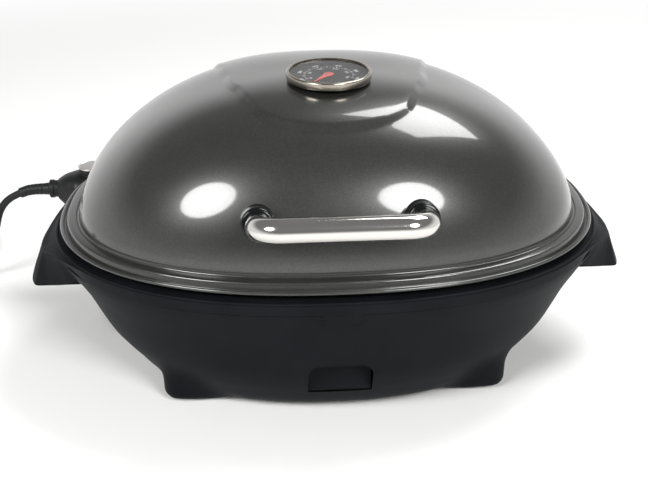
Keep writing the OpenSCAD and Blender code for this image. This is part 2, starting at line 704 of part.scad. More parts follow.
module dial_housing() {
  color("#c4c5c6") on_dial() {
    rotate_extrude() polygon([[0, -bezel_h], [bezel_r - 0.8, -bezel_h], [bezel_r, -bezel_h + 0.8],
      [bezel_r, -0.9], [bezel_r - 0.9, 0], [bezel_r - 2.4, 0], [bezel_r - 2.8, -0.6],
      [bezel_r - 2.8, -1.2],
      [bezel_r - 1.6, -1.2], [bezel_r - 1.6, -bezel_h + 1.2], [0, -bezel_h + 1.2]]);
    translate([0, 0, -bezel_h - 24]) cylinder(r = 6, h = 24.2);
  }
}

module dial_plate() {
  color("#111213") on_dial() difference() {
    translate([0, 0, -bezel_h + 1.2]) cylinder(r = bezel_r - 1.6, h = 1);
    translate([0, 0, -bezel_h]) cylinder(r = 1.2, h = 5);
  }
}

module dial_glass() {
  color("#dfe5e6", 0.4) on_dial() translate([0, 0, -2.2]) cylinder(r = bezel_r - 1.6, h = 1);
}

module dial_needle() {
  color("#c22b25") on_dial() {
    translate([0, 0, -bezel_h + 2.7]) rotate([0, 0, -125]) linear_extrude(0.7)
      polygon([[-9, -2.2], [-4, -3.4], [0, -3.6], [10, -1.8], [26, -0.4], [26, 0.4], [10, 1.8], [0, 3.6],
        [-4, 3.4], [-9, 2.2]]);
    translate([0, 0, -bezel_h + 1.5]) cylinder(r = 1.2 - run_gap, h = 2);
  }
}

module dial_nut() {
  color("#b4b6b8") on_dial() difference() {
    translate([0, 0, -bezel_h - 7.1]) cylinder(r = 10, h = 4, $fn = 6);
    translate([0, 0, -40]) cylinder(r = 6, h = 50);
  }
}

module dial_probe() {
  color("#b4b6b8") on_dial() translate([0, 0, -bezel_h - 24 - 38]) cylinder(r = 2.5, h = 38);
}

// The drawer
tray_half = guide_in - drawer_gap;
module grease_tray() {
  color("#7d8083") difference() {
    translate([-tray_half, tray_front, tray_z + 0.3]) cube([2 * tray_half, tray_back - tray_front, 24]);
    translate([-tray_half + 1.6, tray_front + 1.6, tray_z + 1.9])
      cube([2 * tray_half - 3.2, tray_back - tray_front - 3.2, 30]);
  }
}

module drawer_front() {
  color("#1d1f21") difference() {
    translate([0, tray_front, mouth_z]) rotate([90, 0, 0]) linear_extrude(5) mouth_shape(drawer_gap);
    translate([-60, tray_front - 34.5, mouth_z + 14]) rotate([0, 90, 0]) cylinder(r = 32, h = 120);
  }
}

// The heat control
// Sections of the control's body: x, half width, height over and under the heat line
ctrl_cut = [[ctrl_end, 9.8, 13.2, 6.2], [ctrl_end + 2, 11.6, 14.6, 8.4], [ctrl_end + 7.5, 16, 17.6, 13.6],
  [ctrl_end + 14, 19.4, 19.6, 17.4], [ctrl_end + 22, 22.6, 21, 20.8], [ctrl_x - 7, 22.6, 21, 20.8],
  [ctrl_x - 1, 21.8, 20, 20], [ctrl_x, 21, 19.2, 19.2]];
module control_upper() {
  color("#16181a") difference() {
    union() {
      lofted([for (s = ctrl_cut) concat([for (k = [0:12]) [s[0], ctrl_y + s[1] * spow(cos(15 * k), 0.8),
        heat_z + 0.05 + (k == 0 || k == 12 ? 0 : s[2] * spow(sin(15 * k), 0.8))]])]);
      translate([knob_x, ctrl_y, heat_z + 12]) cylinder(r = knob_r - 1.5, h = 9.4);
    }
    translate([knob_x, ctrl_y, heat_z + 10]) cylinder(r = 3 + run_gap, h = 20);
    for (x = [-1, 1]) translate([-224, ctrl_y + 15 * x, heat_z - 1]) cylinder(r = screw_r, h = 9);
  }
}

module control_lower() {
  color("#16181a") difference() {
    lofted([for (s = ctrl_cut) [for (k = [12:24]) [s[0], ctrl_y + s[1] * spow(cos(15 * k), 0.8),
      heat_z + (k == 12 || k == 24 ? 0 : s[3] * spow(sin(15 * k), 0.8))]]]);
    for (x = [-1, 1]) translate([-224, ctrl_y + 15 * x, heat_z - 30]) cylinder(r = screw_r, h = 40);
    for (x = [-1, 1]) translate([-224, ctrl_y + 15 * x, heat_z - 40]) cylinder(r = 3.1, h = 28);
  }
}

module control_screws() {
  color("#9a9c9f") for (x = [-1, 1])
    translate([-224, ctrl_y + 15 * x, heat_z - 12]) screw(screw_r, 20, 3.1, 2);
}

module control_nose() {
  color("#202224") difference() {
    translate([ctrl_x, ctrl_y - 20.6, heat_z - 9.6]) cube([7, 41.2, 19.2]);
    translate([ctrl_x - 1, ctrl_y, heat_z]) rotate([0, 90, 0]) cylinder(r = 3, h = 12);
    for (y = [pin_y0, pin_y1])
      translate([ctrl_x - 1, y, heat_z]) rotate([0, 90, 0]) cylinder(r = 4, h = 12);
  }
}

module control_probe() {
  color("#b4b6b8") translate([ctrl_x, ctrl_y, heat_z]) rotate([0, 90, 0]) cylinder(r = 3, h = 86);
}

module control_contacts() {
  color("#c9b27a") for (y = [pin_y0, pin_y1])
    translate([ctrl_x, y, heat_z]) rotate([0, 90, 0]) difference() {
      cylinder(r = 4, h = 25);
      translate([0, 0, 1]) cylinder(r = pin_r + run_gap, h = 30);
    }
}

module control_knob() {
  color("#1b1c1d") translate([knob_x, ctrl_y, 0]) {
    translate([0, 0, heat_z + 21.8]) cylinder(r = knob_r - 0.5, h = 4.2);
    translate([0, 0, heat_z + 12]) cylinder(r = 3, h = 11);
  }
}

module knob_cap() {
  color("#c8cacc") translate([knob_x, ctrl_y, heat_z + 26]) {
    cylinder(r = knob_r, h = 1.8);
    translate([-knob_r + 1, -1.5, 1.6]) cube([2 * knob_r - 2, 3, 1]);
  }
}

// The cord
// Route of the cord from the control to the coil: x and z, the cord keeps to one line in y
boot_end = [ctrl_end - 40, ctrl_y + 1, 100.2];
boot_dir = unit([-1, 0.05, -0.42]);
// The boot has a neck and a collar next to the control, then a tapered sleeve
boot_path = concat([for (d = [0, 4, 4.6, 8.4, 9.2, 14]) [ctrl_end - d, ctrl_y, neck_z]],
  [[ctrl_end - 22, ctrl_y + 0.2, neck_z - 0.2], [ctrl_end - 31, ctrl_y + 0.5, neck_z - 1.3], boot_end]);
boot_r = [8.6, 8.6, 9.3, 9.3, 6.4, 5.9, 5.6, 5.4, 5.3];
run_cut = [[48, 1.5, 96.3], [55.5, 2, 91], [61.5, 2.5, 83.8], [66, 3, 74.6], [69.4, 3, 64.2],
  [72.8, 3, 53.4], [77.4, 3, 42], [84, 3, 30.2], [92.8, 3, 19.6], [103.8, 3, 11.2], [116.4, 3, 6],
  [130, 3, 4], [144, 3, cord_r + 0.05], [158, 3, cord_r + 0.05]];
run_path = concat([boot_end], [for (p = run_cut) [ctrl_end - p[0], ctrl_y + p[1], p[2]]]);

module cord_boot() {
  color("#151617") corded(boot_path, boot_r, 16, [0, 1, 0], [-1, 0, 0], boot_dir);
}

module cord_run() {
  color("#151617") corded(run_path, cord_r, 10, [0, 1, 0], boot_dir, [-1, 0, 0]);
}

// Coil: piled turns that spiral in and out, one layer over the other, as one unbroken tube
function coil_at(u) =
  let (n = floor(u / turns_each), v = u - n * turns_each,
    inward = n % 2 == 0 ? v : turns_each - v,
    near = round(u / turns_each), w = u - near * turns_each,
    rise = near > 0 && near < layers && abs(w) < 0.25 ? near - 0.5 + 0.5 * sin(360 * w) :
      floor(u / turns_each + 0.0001),
    level = min(layers - 1, rise),
    r = coil_r - coil_pitch * inward, a = -90 - 360 * u)
  [coil_x + r * cos(a), coil_y + r * sin(a), cord_r + 0.05 + level * coil_pitch];
coil_path = [for (k = [0:24 * coil_turns]) coil_at(k / 24)];
self_gap = min([for (i = [0:4:24 * coil_turns - 13]) for (j = [i + 12:24 * coil_turns])
  norm(coil_path[i] - coil_path[j]) - 2 * cord_r]);
echo(coil_least_gap_mm = self_gap);

module cord_coil() {
  color("#151617") corded(coil_path, cord_r, 6, [0, 0, 1], [-1, 0, 0], [-1, 0, 0]);
}

tail_z = coil_path[24 * coil_turns][2];
tail_cut = [[0, tail_z], [12, tail_z], [26, tail_z - 1.2], [40, tail_z - 5], [54, tail_z - 10.2],
  [68, tail_z - 13.6], [82, tail_z - 14], [96, 15.6], [110, 17.8], [coil_x - plug_x - 14, 18.4]];
tail_path = [for (p = tail_cut) [coil_x - p[0], cord_y, p[1]]];
// Length of a route
function route_length(p) =
  let (d = [for (i = [1:len(p) - 1]) norm(p[i] - p[i - 1])])
  d * [for (x = d) 1];
cord_length = route_length(run_path) + route_length(coil_path) + route_length(tail_path);
echo(cord_length_mm = cord_length);
module cord_tail() {
  color("#151617") corded(tail_path, cord_r, 10, [0, 1, 0], [-1, 0, 0], [-1, 0, 0]);
}

module plug_body() {
  color("#151617") translate([plug_x + 14, cord_y, 18.4]) rotate([0, -90, 0]) rotate_extrude()
    polygon([[0, 0], [5.4, 0], [6.6, 16], [11, 21], [16, 25], [18.2, 31], [18.2, 50], [17.4, 51], [0, 51]]);
}

module plug_pins() {
  color("#b9b08a") for (y = [-9.5, 9.5])
    translate([plug_x + 14 - 51, cord_y + y, 18.4]) rotate([0, -90, 0]) {
      cylinder(r = 2.4, h = 17.5);
      translate([0, 0, 17.5]) cylinder(r1 = 2.4, r2 = 1.2, h = 1.5);
    }
}

base_shell();
rim_frame();
foot_pads();
rim_screws();
drip_pan();
pan_screws();
grill_plate();
heating_element();
element_clips();
socket_shroud();
contact_pins();
drawer_guide();
guide_screws();
hinge_leaf();
leaf_screws();
hinge_pin();
lid_shell();
lid_bracket();
bracket_rivets();
handle_tube();
handle_inserts();
handle_ferrules();
handle_screws();
dial_gasket();
dial_housing();
dial_plate();
dial_glass();
dial_nut();
dial_probe();
dial_needle();
grease_tray();
drawer_front();
control_lower();
control_upper();
control_nose();
control_probe();
control_contacts();
control_screws();
control_knob();
knob_cap();
cord_boot();
cord_run();
cord_coil();
cord_tail();
plug_body();
plug_pins();
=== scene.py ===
import math
import bmesh
import bpy
import numpy as np
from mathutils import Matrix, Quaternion, Vector


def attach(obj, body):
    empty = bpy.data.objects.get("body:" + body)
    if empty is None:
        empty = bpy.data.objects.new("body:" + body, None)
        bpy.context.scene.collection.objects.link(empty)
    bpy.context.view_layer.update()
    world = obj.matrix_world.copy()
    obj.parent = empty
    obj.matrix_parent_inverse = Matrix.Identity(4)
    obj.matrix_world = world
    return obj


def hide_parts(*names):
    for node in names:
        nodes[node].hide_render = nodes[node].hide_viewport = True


# Electric tabletop grill with a hinged lid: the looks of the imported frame.
# Shapes are worked out in millimetres and turned to metres when a mesh is made.
# The front faces -Y, up is +Z, the floor is z = 0 and the oval's centre is over the origin.

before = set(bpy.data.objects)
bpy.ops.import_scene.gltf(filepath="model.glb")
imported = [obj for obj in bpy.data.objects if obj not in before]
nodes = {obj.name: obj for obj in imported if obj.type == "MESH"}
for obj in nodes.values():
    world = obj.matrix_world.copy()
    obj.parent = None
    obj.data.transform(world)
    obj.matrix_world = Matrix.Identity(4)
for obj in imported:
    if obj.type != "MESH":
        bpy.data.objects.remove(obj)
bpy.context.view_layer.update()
mm = 0.001


# Camera at the photograph's viewing angle

camera = {"place": (-60.6, -856.0, 496.6), "look": (0.0617, 0.9005, -0.4305), "roll": -0.20, "lens": 55.8}


def makeCamera(c):
    data = bpy.data.cameras.new("camera")
    data.lens = c["lens"]
    data.sensor_width = 36
    data.clip_start = 0.01
    obj = bpy.data.objects.new("camera", data)
    bpy.context.scene.collection.objects.link(obj)
    obj.location = Vector(c["place"]) * mm
    turn = Vector(c["look"]).to_track_quat("-Z", "Y") @ Quaternion((0, 0, 1), math.radians(c["roll"]))
    obj.rotation_mode = "QUATERNION"
    obj.rotation_quaternion = turn
    bpy.context.scene.camera = obj


makeCamera(camera)
print("camera placed")


# Materials: colours are sRGB hex, pattern sizes are millimetres

def toLinear(hexColour):
    # a straight line under 0.04045, a power curve above it
    c = np.array([int(hexColour[i:i + 2], 16) for i in (1, 3, 5)]) / 255
    c = np.where(c <= 0.04045, c / 12.92, ((c + 0.055) / 1.055) ** 2.4)
    return (*c.tolist(), 1.0)


def addNode(tree, kind, settings=None, links=None):
    # settings name sockets or attributes, links join an input to another node's socket
    node = tree.nodes.new(kind)
    for key, value in (settings or {}).items():
        if isinstance(key, int) or key in node.inputs:
            node.inputs[key].default_value = value
        else:
            setattr(node, key, value)
    for key, source in (links or {}).items():
        tree.links.new(source, node.inputs[key])
    return node


def noiseNode(tree, place, grain, detail=3.0):
    # noise whose pattern has the size of the grain in millimetres
    return addNode(tree, "ShaderNodeTexNoise", {"Scale": 1 / (grain * mm), "Detail": detail},
                   {"Vector": place}).outputs["Fac"]


def rangeNode(tree, value, *limits):
    # the limits are where the value starts and ends, and what it becomes there
    names = ("From Min", "From Max", "To Min", "To Max")
    return addNode(tree, "ShaderNodeMapRange", dict(zip(names, limits)), {"Value": value}).outputs["Result"]


def mathNode(tree, operation, *sockets):
    return addNode(tree, "ShaderNodeMath", {"operation": operation}, dict(enumerate(sockets))).outputs[0]


def newMaterial(name, settings):
    # one Principled shader; gives the tree, the shader and the place on the object in metres
    material = bpy.data.materials.new(name)
    material.use_nodes = True
    tree = material.node_tree
    tree.nodes.clear()
    shader = addNode(tree, "ShaderNodeBsdfPrincipled", settings)
    addNode(tree, "ShaderNodeOutputMaterial", None, {"Surface": shader.outputs[0]})
    place = addNode(tree, "ShaderNodeTexCoord").outputs["Object"]
    return material, tree, shader, place


def colourMix(tree, shader, amount, low, high, fromMin=0.3, fromMax=0.7):
    # the shader's colour goes from low to high as the amount goes from fromMin to fromMax
    ramp = addNode(tree, "ShaderNodeValToRGB", None, {"Fac": amount})
    ramp.color_ramp.elements[0].position = fromMin
    ramp.color_ramp.elements[0].color = toLinear(low)
    ramp.color_ramp.elements[1].position = fromMax
    ramp.color_ramp.elements[1].color = toLinear(high)
    tree.links.new(ramp.outputs["Color"], shader.inputs["Base Color"])


def bumpFrom(tree, shader, height, strength, depth):
    # depth in millimetres between the lowest and highest point of the pattern
    bump = addNode(tree, "ShaderNodeBump", {"Strength": strength, "Distance": depth * mm}, {"Height": height})
    tree.links.new(bump.outputs["Normal"], shader.inputs["Normal"])


def roughnessFrom(tree, shader, amount, low, high):
    tree.links.new(rangeNode(tree, amount, 0.0, 1.0, low, high), shader.inputs["Roughness"])


def flakeLacquer():
    # baked metallic lacquer on pressed steel: flakes in a dark binder under a clear film.
    # Real flakes are 0.05 mm, drawn at 0.7 mm so that their grain shows at this distance.
    material, tree, shader, place = newMaterial("baked_flake_lacquer", {
        "Metallic": 0.5, "Roughness": 0.32, "IOR": 1.5, "Coat Weight": 0.78, "Coat Roughness": 0.075,
        "Coat IOR": 1.55})
    flakes = addNode(tree, "ShaderNodeTexVoronoi", {"Scale": 1 / (0.7 * mm)}, {"Vector": place})
    tint = addNode(tree, "ShaderNodeMix", {"data_type": "FLOAT", "Factor": 0.25},
                   {2: flakes.outputs["Color"], 3: noiseNode(tree, place, 14, 4.0)})
    colourMix(tree, shader, tint.outputs[0], "#292a29", "#3c3d3a", 0.1, 0.9)
    bumpFrom(tree, shader, flakes.outputs["Color"], 0.15, 0.03)
    return material


def mouldedPlastic():
    # moulded polypropylene with glass fibre: satin, spark-eroded grain of 0.7 mm, slightly blue black
    material, tree, shader, place = newMaterial("moulded_polypropylene", {
        "Roughness": 0.5, "IOR": 1.49, "Specular IOR Level": 0.06})
    cloud = noiseNode(tree, place, 40)
    colourMix(tree, shader, cloud, "#101215", "#15171a")
    roughnessFrom(tree, shader, cloud, 0.46, 0.58)
    bumpFrom(tree, shader, noiseNode(tree, place, 0.7), 0.25, 0.06)
    return material


def polishedSteel():
    # drawn and polished stainless tube: mirror-like, with faint drawing lines 0.8 mm apart along X
    material, tree, shader, place = newMaterial("polished_stainless_steel", {
        "Metallic": 1.0, "Roughness": 0.1, "Base Color": toLinear("#d3d1cd")})
    stretch = addNode(tree, "ShaderNodeMapping", {"Scale": (0.02, 1, 1)}, {"Vector": place})
    lines = noiseNode(tree, stretch.outputs["Vector"], 0.8, 2.0)
    roughnessFrom(tree, shader, lines, 0.07, 0.15)
    bumpFrom(tree, shader, lines, 0.06, 0.02)
    return material


def plainMetal(name, colour, roughness, grain):
    # worked metal with a fine irregular grain given in millimetres
    material, tree, shader, place = newMaterial(name, {"Metallic": 1.0, "Base Color": toLinear(colour)})
    noise = noiseNode(tree, place, grain)
    roughnessFrom(tree, shader, noise, roughness * 0.75, roughness * 1.3)
    bumpFrom(tree, shader, noise, 0.15, 0.03)
    return material


def satinPolymer(name, low, high, roughness, grain):
    # solid coloured polymer or rubber with a fine grain given in millimetres
    material, tree, shader, place = newMaterial(name, {"IOR": 1.5, "Specular IOR Level": 0.3})
    noise = noiseNode(tree, place, grain)
    colourMix(tree, shader, noise, low, high)
    roughnessFrom(tree, shader, noise, roughness * 0.85, roughness * 1.15)
    bumpFrom(tree, shader, noise, 0.2, 0.04)
    return material


def windowGlass():
    # pressed window glass with an anti-glare coat, so its index is drawn low
    return newMaterial("clear_window_glass", {
        "Roughness": 0.02, "IOR": 1.12, "Transmission Weight": 1.0, "Base Color": (1, 1, 1, 1)})[0]


finishes = {
    "lacquer": flakeLacquer(),
    "plastic": mouldedPlastic(),
    "tube": polishedSteel(),
    "bezel": plainMetal("turned_stainless_steel", "#a29b90", 0.2, 0.7),
    "enamel": satinPolymer("black_baked_enamel", "#1c1c1b", "#262625", 0.4, 1.5),
    "glossBlack": satinPolymer("polished_phenolic", "#08090a", "#101112", 0.14, 6.0),
    "rubber": satinPolymer("soft_vinyl_cable_sheath", "#101112", "#17181a", 0.5, 0.9),
    "controlBody": satinPolymer("moulded_phenolic", "#121413", "#1b1d1c", 0.42, 0.8),
    "pad": satinPolymer("silicone_pad", "#202020", "#2c2c2c", 0.7, 0.8),
    "zinc": plainMetal("zinc_plated_steel", "#a9abad", 0.3, 0.8),
    "sheetSteel": plainMetal("aluminised_steel_sheet", "#b4b5b6", 0.34, 3.0),
    "brass": plainMetal("plated_brass", "#cdb57c", 0.25, 1.0),
    "heater": plainMetal("oxidised_heater_tube", "#5d5750", 0.45, 1.2),
    "plate": satinPolymer("non_stick_coated_casting", "#161718", "#232425", 0.33, 1.1),
    "disc": plainMetal("brushed_aluminium_foil", "#cfcbc8", 0.4, 0.5),
    "dialBlack": satinPolymer("printed_black_enamel", "#0d0e0f", "#131415", 0.5, 3.0),
    "dialWhite": satinPolymer("printed_white_ink", "#d9dad8", "#e6e7e4", 0.6, 1.0),
    "needleRed": satinPolymer("sprayed_red_enamel", "#b8433c", "#cc564c", 0.4, 2.0),
    "glass": windowGlass(),
}
print("materials made")


# Meshes from arrays of points

def fullTurn(count):
    # evenly spaced angles once round, in radians
    return np.linspace(0, 2 * np.pi, count, endpoint=False)


def aroundZ(reach, turn, z):
    # points at a distance from the Z axis in the directions of the turn, at the height z
    x, y = reach * np.cos(turn), reach * np.sin(turn)
    return np.stack([x, y, np.broadcast_to(z, x.shape)], -1)


def gridQuads(rows, columns, closeRows=False):
    # quads between closed rings, whose point (row, column) has the number row * columns + column
    i, j = np.meshgrid(np.arange(rows if closeRows else rows - 1), np.arange(columns), indexing="ij")
    below, beside = (i + 1) % rows, (j + 1) % columns
    corners = [i * columns + j, i * columns + beside, below * columns + beside, below * columns + j]
    return np.stack(corners, -1).reshape(-1, 4).tolist()


def fan(ring, pole, flip=False):
    # triangles from a ring of point numbers to one pole
    after = np.roll(ring, -1)
    pair = (after, ring) if flip else (ring, after)
    return np.stack([*pair, np.full(len(ring), pole)], -1).tolist()


def addObject(name, data):
    obj = bpy.data.objects.new(name, data)
    bpy.context.scene.collection.objects.link(obj)
    return obj


def addMesh(name, points, faces):
    # mesh object from points in millimetres
    mesh = bpy.data.meshes.new(name)
    mesh.from_pydata((np.asarray(points, float).reshape(-1, 3) * mm).tolist(), [], faces)
    mesh.update()
    return addObject(name, mesh)


def smoothShade(mesh, sharpAngle):
    # smooth faces with sharp edges where two of them meet at more than the angle
    mesh.polygons.foreach_set("use_smooth", np.ones(len(mesh.polygons), bool))
    mesh.set_sharp_from_angle(angle=math.radians(sharpAngle))


def makePiece(name, points, faces, finish, body, replaced=(), sharpAngle=35):
    obj = addMesh(name, points, faces)
    smoothShade(obj.data, sharpAngle)
    obj.data.materials.append(finishes[finish])
    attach(obj, body)
    if replaced:
        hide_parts(*replaced)
    return obj


def roundEdges(obj, width, steps):
    # bevels every sharp edge by a width in millimetres
    bevel = obj.modifiers.new("bevel", "BEVEL")
    bevel.width, bevel.segments, bevel.limit_method = width * mm, steps, "ANGLE"
    return bevel


def shellFrom(rings, first, last):
    # closed skin: the rings run from a first pole, out and back to a last pole
    rings = np.asarray(rings, float)
    rows, columns = rings.shape[:2]
    count = rows * columns
    faces = gridQuads(rows, columns) + fan(np.arange(columns), count, flip=True)
    faces += fan(np.arange(count - columns, count), count + 1)
    return np.vstack([rings.reshape(-1, 3), first, last]), faces


def smoothLookup(x, xs, ys):
    # cubic through the points; the slope at each is the harmonic mean of its two chords' slopes, or
    # none where they turn back, so the curve never passes beyond its points
    xs, ys = np.asarray(xs, float), np.asarray(ys, float)
    chord = np.diff(ys) / np.diff(xs)
    product = chord[:-1] * chord[1:]
    inner = np.where(product > 0, 2 * product / np.where(product > 0, chord[:-1] + chord[1:], 1), 0)
    slope = np.concatenate([chord[:1], inner, chord[-1:]])
    k = np.clip(np.searchsorted(xs, x, side="right") - 1, 0, len(xs) - 2)
    width = xs[k + 1] - xs[k]
    s = np.clip((x - xs[k]) / width, 0, 1)
    return ((1 + 2 * s) * (1 - s) ** 2 * ys[k] + s * (1 - s) ** 2 * width * slope[k]
            + s ** 2 * (3 - 2 * s) * ys[k + 1] + s ** 2 * (s - 1) * width * slope[k + 1])


def roundedLoop(points, radii, steps):
    # closed loop of corners, one row for each, every corner swapped for a parabola that starts the
    # radius before it and ends the radius after it; all columns at once
    p = np.asarray(points, float)
    out = []
    for k, r in enumerate(radii):
        before, after = p[k - 1] - p[k], p[(k + 1) % len(p)] - p[k]
        toBefore = np.linalg.norm(before, axis=-1, keepdims=True)
        toAfter = np.linalg.norm(after, axis=-1, keepdims=True)
        a = p[k] + before / toBefore * np.minimum(r, 0.45 * toBefore)
        b = p[k] + after / toAfter * np.minimum(r, 0.45 * toAfter)
        for s in np.linspace(0, 1, steps):
            out.append((1 - s) ** 2 * a + 2 * s * (1 - s) * p[k] + s * s * b)
    return np.array(out)


def smoothLine(points, steps):
    # Catmull-Rom curve through the points, with the given number of steps between two of them
    p = np.asarray(points, float)
    p = np.vstack([2 * p[0] - p[1], p, 2 * p[-1] - p[-2]])
    s = np.linspace(0, 1, steps, endpoint=False)[:, None]
    a, b, c, d = (p[k:len(p) - 3 + k, None, :] for k in range(4))
    curve = 0.5 * (2 * b + (c - a) * s + (2 * a - 5 * b + 4 * c - d) * s ** 2
                   + (3 * b - a - 3 * c + d) * s ** 3)
    return np.vstack([curve.reshape(-1, p.shape[1]), p[-2]])


def tubeRings(path, radius, sides, sideWay):
    # circles square to the path; sideWay is a direction that the path never follows
    path = np.asarray(path, float)
    along = np.gradient(path, axis=0)
    along /= np.linalg.norm(along, axis=1)[:, None]
    u = np.cross(np.asarray(sideWay, float), along)
    u /= np.linalg.norm(u, axis=1)[:, None]
    v = np.cross(along, u)
    turn = fullTurn(sides)[None, :, None]
    r = np.broadcast_to(np.asarray(radius, float), (len(path),))[:, None, None]
    return path[:, None, :] + r * (np.cos(turn) * u[:, None, :] + np.sin(turn) * v[:, None, :])


def ovalPoint(a, b, power, t):
    # superellipse: half width a, half depth b, signed powers of cosine and sine
    c, s = np.cos(t), np.sin(t)
    return a * np.sign(c) * np.abs(c) ** (2 / power), b * np.sign(s) * np.abs(s) ** (2 / power)


def ovalReach(a, b, power, turn):
    # distance from the centre to the superellipse in the direction of the turn
    return ((np.abs(np.cos(turn)) / a) ** power + (np.abs(np.sin(turn)) / b) ** power) ** (-1 / power)


def rightTurn(turn):
    # the same angle as seen on the right side, in degrees, front negative
    return np.degrees(np.arctan2(np.sin(turn), np.abs(np.cos(turn))))


def smoothStep(s):
    s = np.clip(s, 0, 1)
    return s * s * (3 - 2 * s)


# Cord: from the heat control's sleeve to the floor, the stored coil, and the plug

cord = {"radius": 3.75, "coilPlace": (-424, 164), "coilRadius": 46, "turns": 6, "layers": 4, "pitch": 8.1,
        "floor": 3.8, "line": 118}
plug = {"end": (-548, 118, 18.4), "length": 51, "thick": [5, 5.5, 6.6, 11, 16, 17.8, 17.8, 17.8, 17.2],
        "away": [0, 1.5, 16, 21, 25, 31, 34, 49, 51]}
sleeveEnd = (-306, 116, 100.2)
runPath = [sleeveEnd, (-314, 116.5, 96.3), (-321.5, 117, 91), (-327.5, 117.5, 83.8), (-332, 118, 74.6),
           (-335.4, 118, 64.2), (-338.8, 118, 53.4), (-343.4, 118, 42), (-350, 118, 30.2),
           (-358.8, 118, 19.6), (-369.8, 118, 11.2), (-382.4, 118, 6), (-396, 118, 4), (-410, 118, 3.8),
           (-424, 118, 3.8)]


def coilPath(c):
    # turns spiral in and out again at a steady rate, and climb a layer in the half turn where they reverse
    each = c["turns"] / c["layers"]
    u = np.arange(24 * c["turns"] + 1) / 24
    n = np.floor(u / each + 1e-6)
    v = u - n * each
    inward = np.where(n % 2 == 0, v, each - v)
    near = np.round(u / each)
    w = u - near * each
    climbing = (near > 0) & (near < c["layers"]) & (np.abs(w) < 0.25)
    level = np.minimum(c["layers"] - 1, np.where(climbing, near - 0.5 + 0.5 * np.sin(2 * np.pi * w), n))
    r = c["coilRadius"] - c["pitch"] * inward
    a = -np.pi / 2 - 2 * np.pi * u
    x, y = c["coilPlace"]
    return np.stack([x + r * np.cos(a), y + r * np.sin(a), c["floor"] + level * c["pitch"]], -1)


def makeCord(c):
    coil = coilPath(c)
    top = coil[-1, 2]
    x = c["coilPlace"][0]
    down = [(0, top), (12, top), (26, top - 1.2), (40, top - 5), (54, top - 10.2), (68, top - 13.6),
            (82, top - 14), (96, 15.6), (110, 17.8)]
    tail = [(x - dx, c["line"], z) for dx, z in down] + [plug["end"]]
    path = np.vstack([runPath[:-1], coil[:-1], tail])
    line = smoothLine(path, 3)
    length = np.linalg.norm(np.diff(line, axis=0), axis=1).sum()
    # the side direction turns with the path, so that it is never along it
    flat = np.gradient(line, axis=0)
    side = np.stack([flat[:, 1], -flat[:, 0], np.full(len(line), 0.001)], -1)
    points, faces = shellFrom(tubeRings(line, c["radius"], 16, side), line[0], line[-1])
    return makePiece("mains_cord", points, faces, "rubber", "control",
                     ["cord_run", "cord_coil", "cord_tail"]), line, length


cordPiece, cordLine, cordLength = makeCord(cord)
print("cord made, length", round(cordLength, 1))


def latheRings(profile, sides):
    # profile of (radius, height) turned round Z
    profile = np.asarray(profile, float)
    return aroundZ(profile[:, :1], fullTurn(sides), profile[:, 1:])


def placed(points, origin, zWay, xWay):
    # turns points so that their Z runs along zWay, then moves them to the origin given
    z = np.asarray(zWay, float) / np.linalg.norm(zWay)
    x = np.asarray(xWay, float) - np.dot(xWay, z) * z
    x /= np.linalg.norm(x)
    turn = np.stack([x, np.cross(z, x), z])
    return np.asarray(points, float) @ turn + np.asarray(origin, float)


def makePlug(c):
    # turned body with a slim neck and three grip ribs on the wide part
    s = np.linspace(0, c["length"], 103)
    ribs = 0.4 * np.maximum(0, np.cos((s - 40) * np.pi / 2.4)) ** 2 * ((s > 33.6) & (s < 46.4))
    rings = latheRings(np.stack([smoothLookup(s, c["away"], c["thick"]) + ribs, s], -1), 64)
    # two flats for the fingers: the width across Y shrinks where the body is wide
    rings[:, :, 1] *= 1 - 0.1 * smoothStep((s - 22) / 10)[:, None]
    rings = placed(rings, c["end"], (-1, 0, 0), (0, 0, 1))
    points, faces = shellFrom(rings, c["end"], (c["end"][0] - c["length"], c["end"][1], c["end"][2]))
    return makePiece("plug_moulding", points, faces, "rubber", "control", ["plug_body"])


plugPiece = makePlug(plug)

sleeve = {"away": [0, 3.4, 4.2, 4.6, 8, 8.6, 9.2, 10, 14, 22, 31, 36, 39, 40],
          "radius": [8.6, 8.6, 8.7, 9.3, 9.3, 9.1, 6.8, 6.3, 5.9, 5.6, 5.4, 5.3, 5.3, 5.0],
          "route": [(-266, 115, 104.5), (-280, 115, 104.5), (-288, 115.2, 104.3), (-297, 115.5, 103.2)]}


def makeSleeve(c):
    # strain relief: a neck and a collar next to the control, then a slim tapered sleeve with fine rings
    line = smoothLine([*c["route"], sleeveEnd], 34)
    steps = np.linalg.norm(np.diff(line, axis=0), axis=1)
    far = np.concatenate([[0], np.cumsum(steps)])
    far *= c["away"][-1] / far[-1]
    radius = smoothLookup(far, c["away"], c["radius"])
    radius -= 0.35 * np.maximum(0, np.cos(far * 2 * np.pi / 4)) ** 6 * ((far > 13) & (far < 35))
    points, faces = shellFrom(tubeRings(line, radius, 48, (0, 1, 0)), line[0], line[-1])
    return makePiece("strain_relief", points, faces, "rubber", "control", ["cord_boot"])


sleevePiece = makeSleeve(sleeve)
tie = {"turn": 200, "width": 9, "thick": 0.9, "half": (12.6, 16.0), "middle": (39.6, 16.8)}


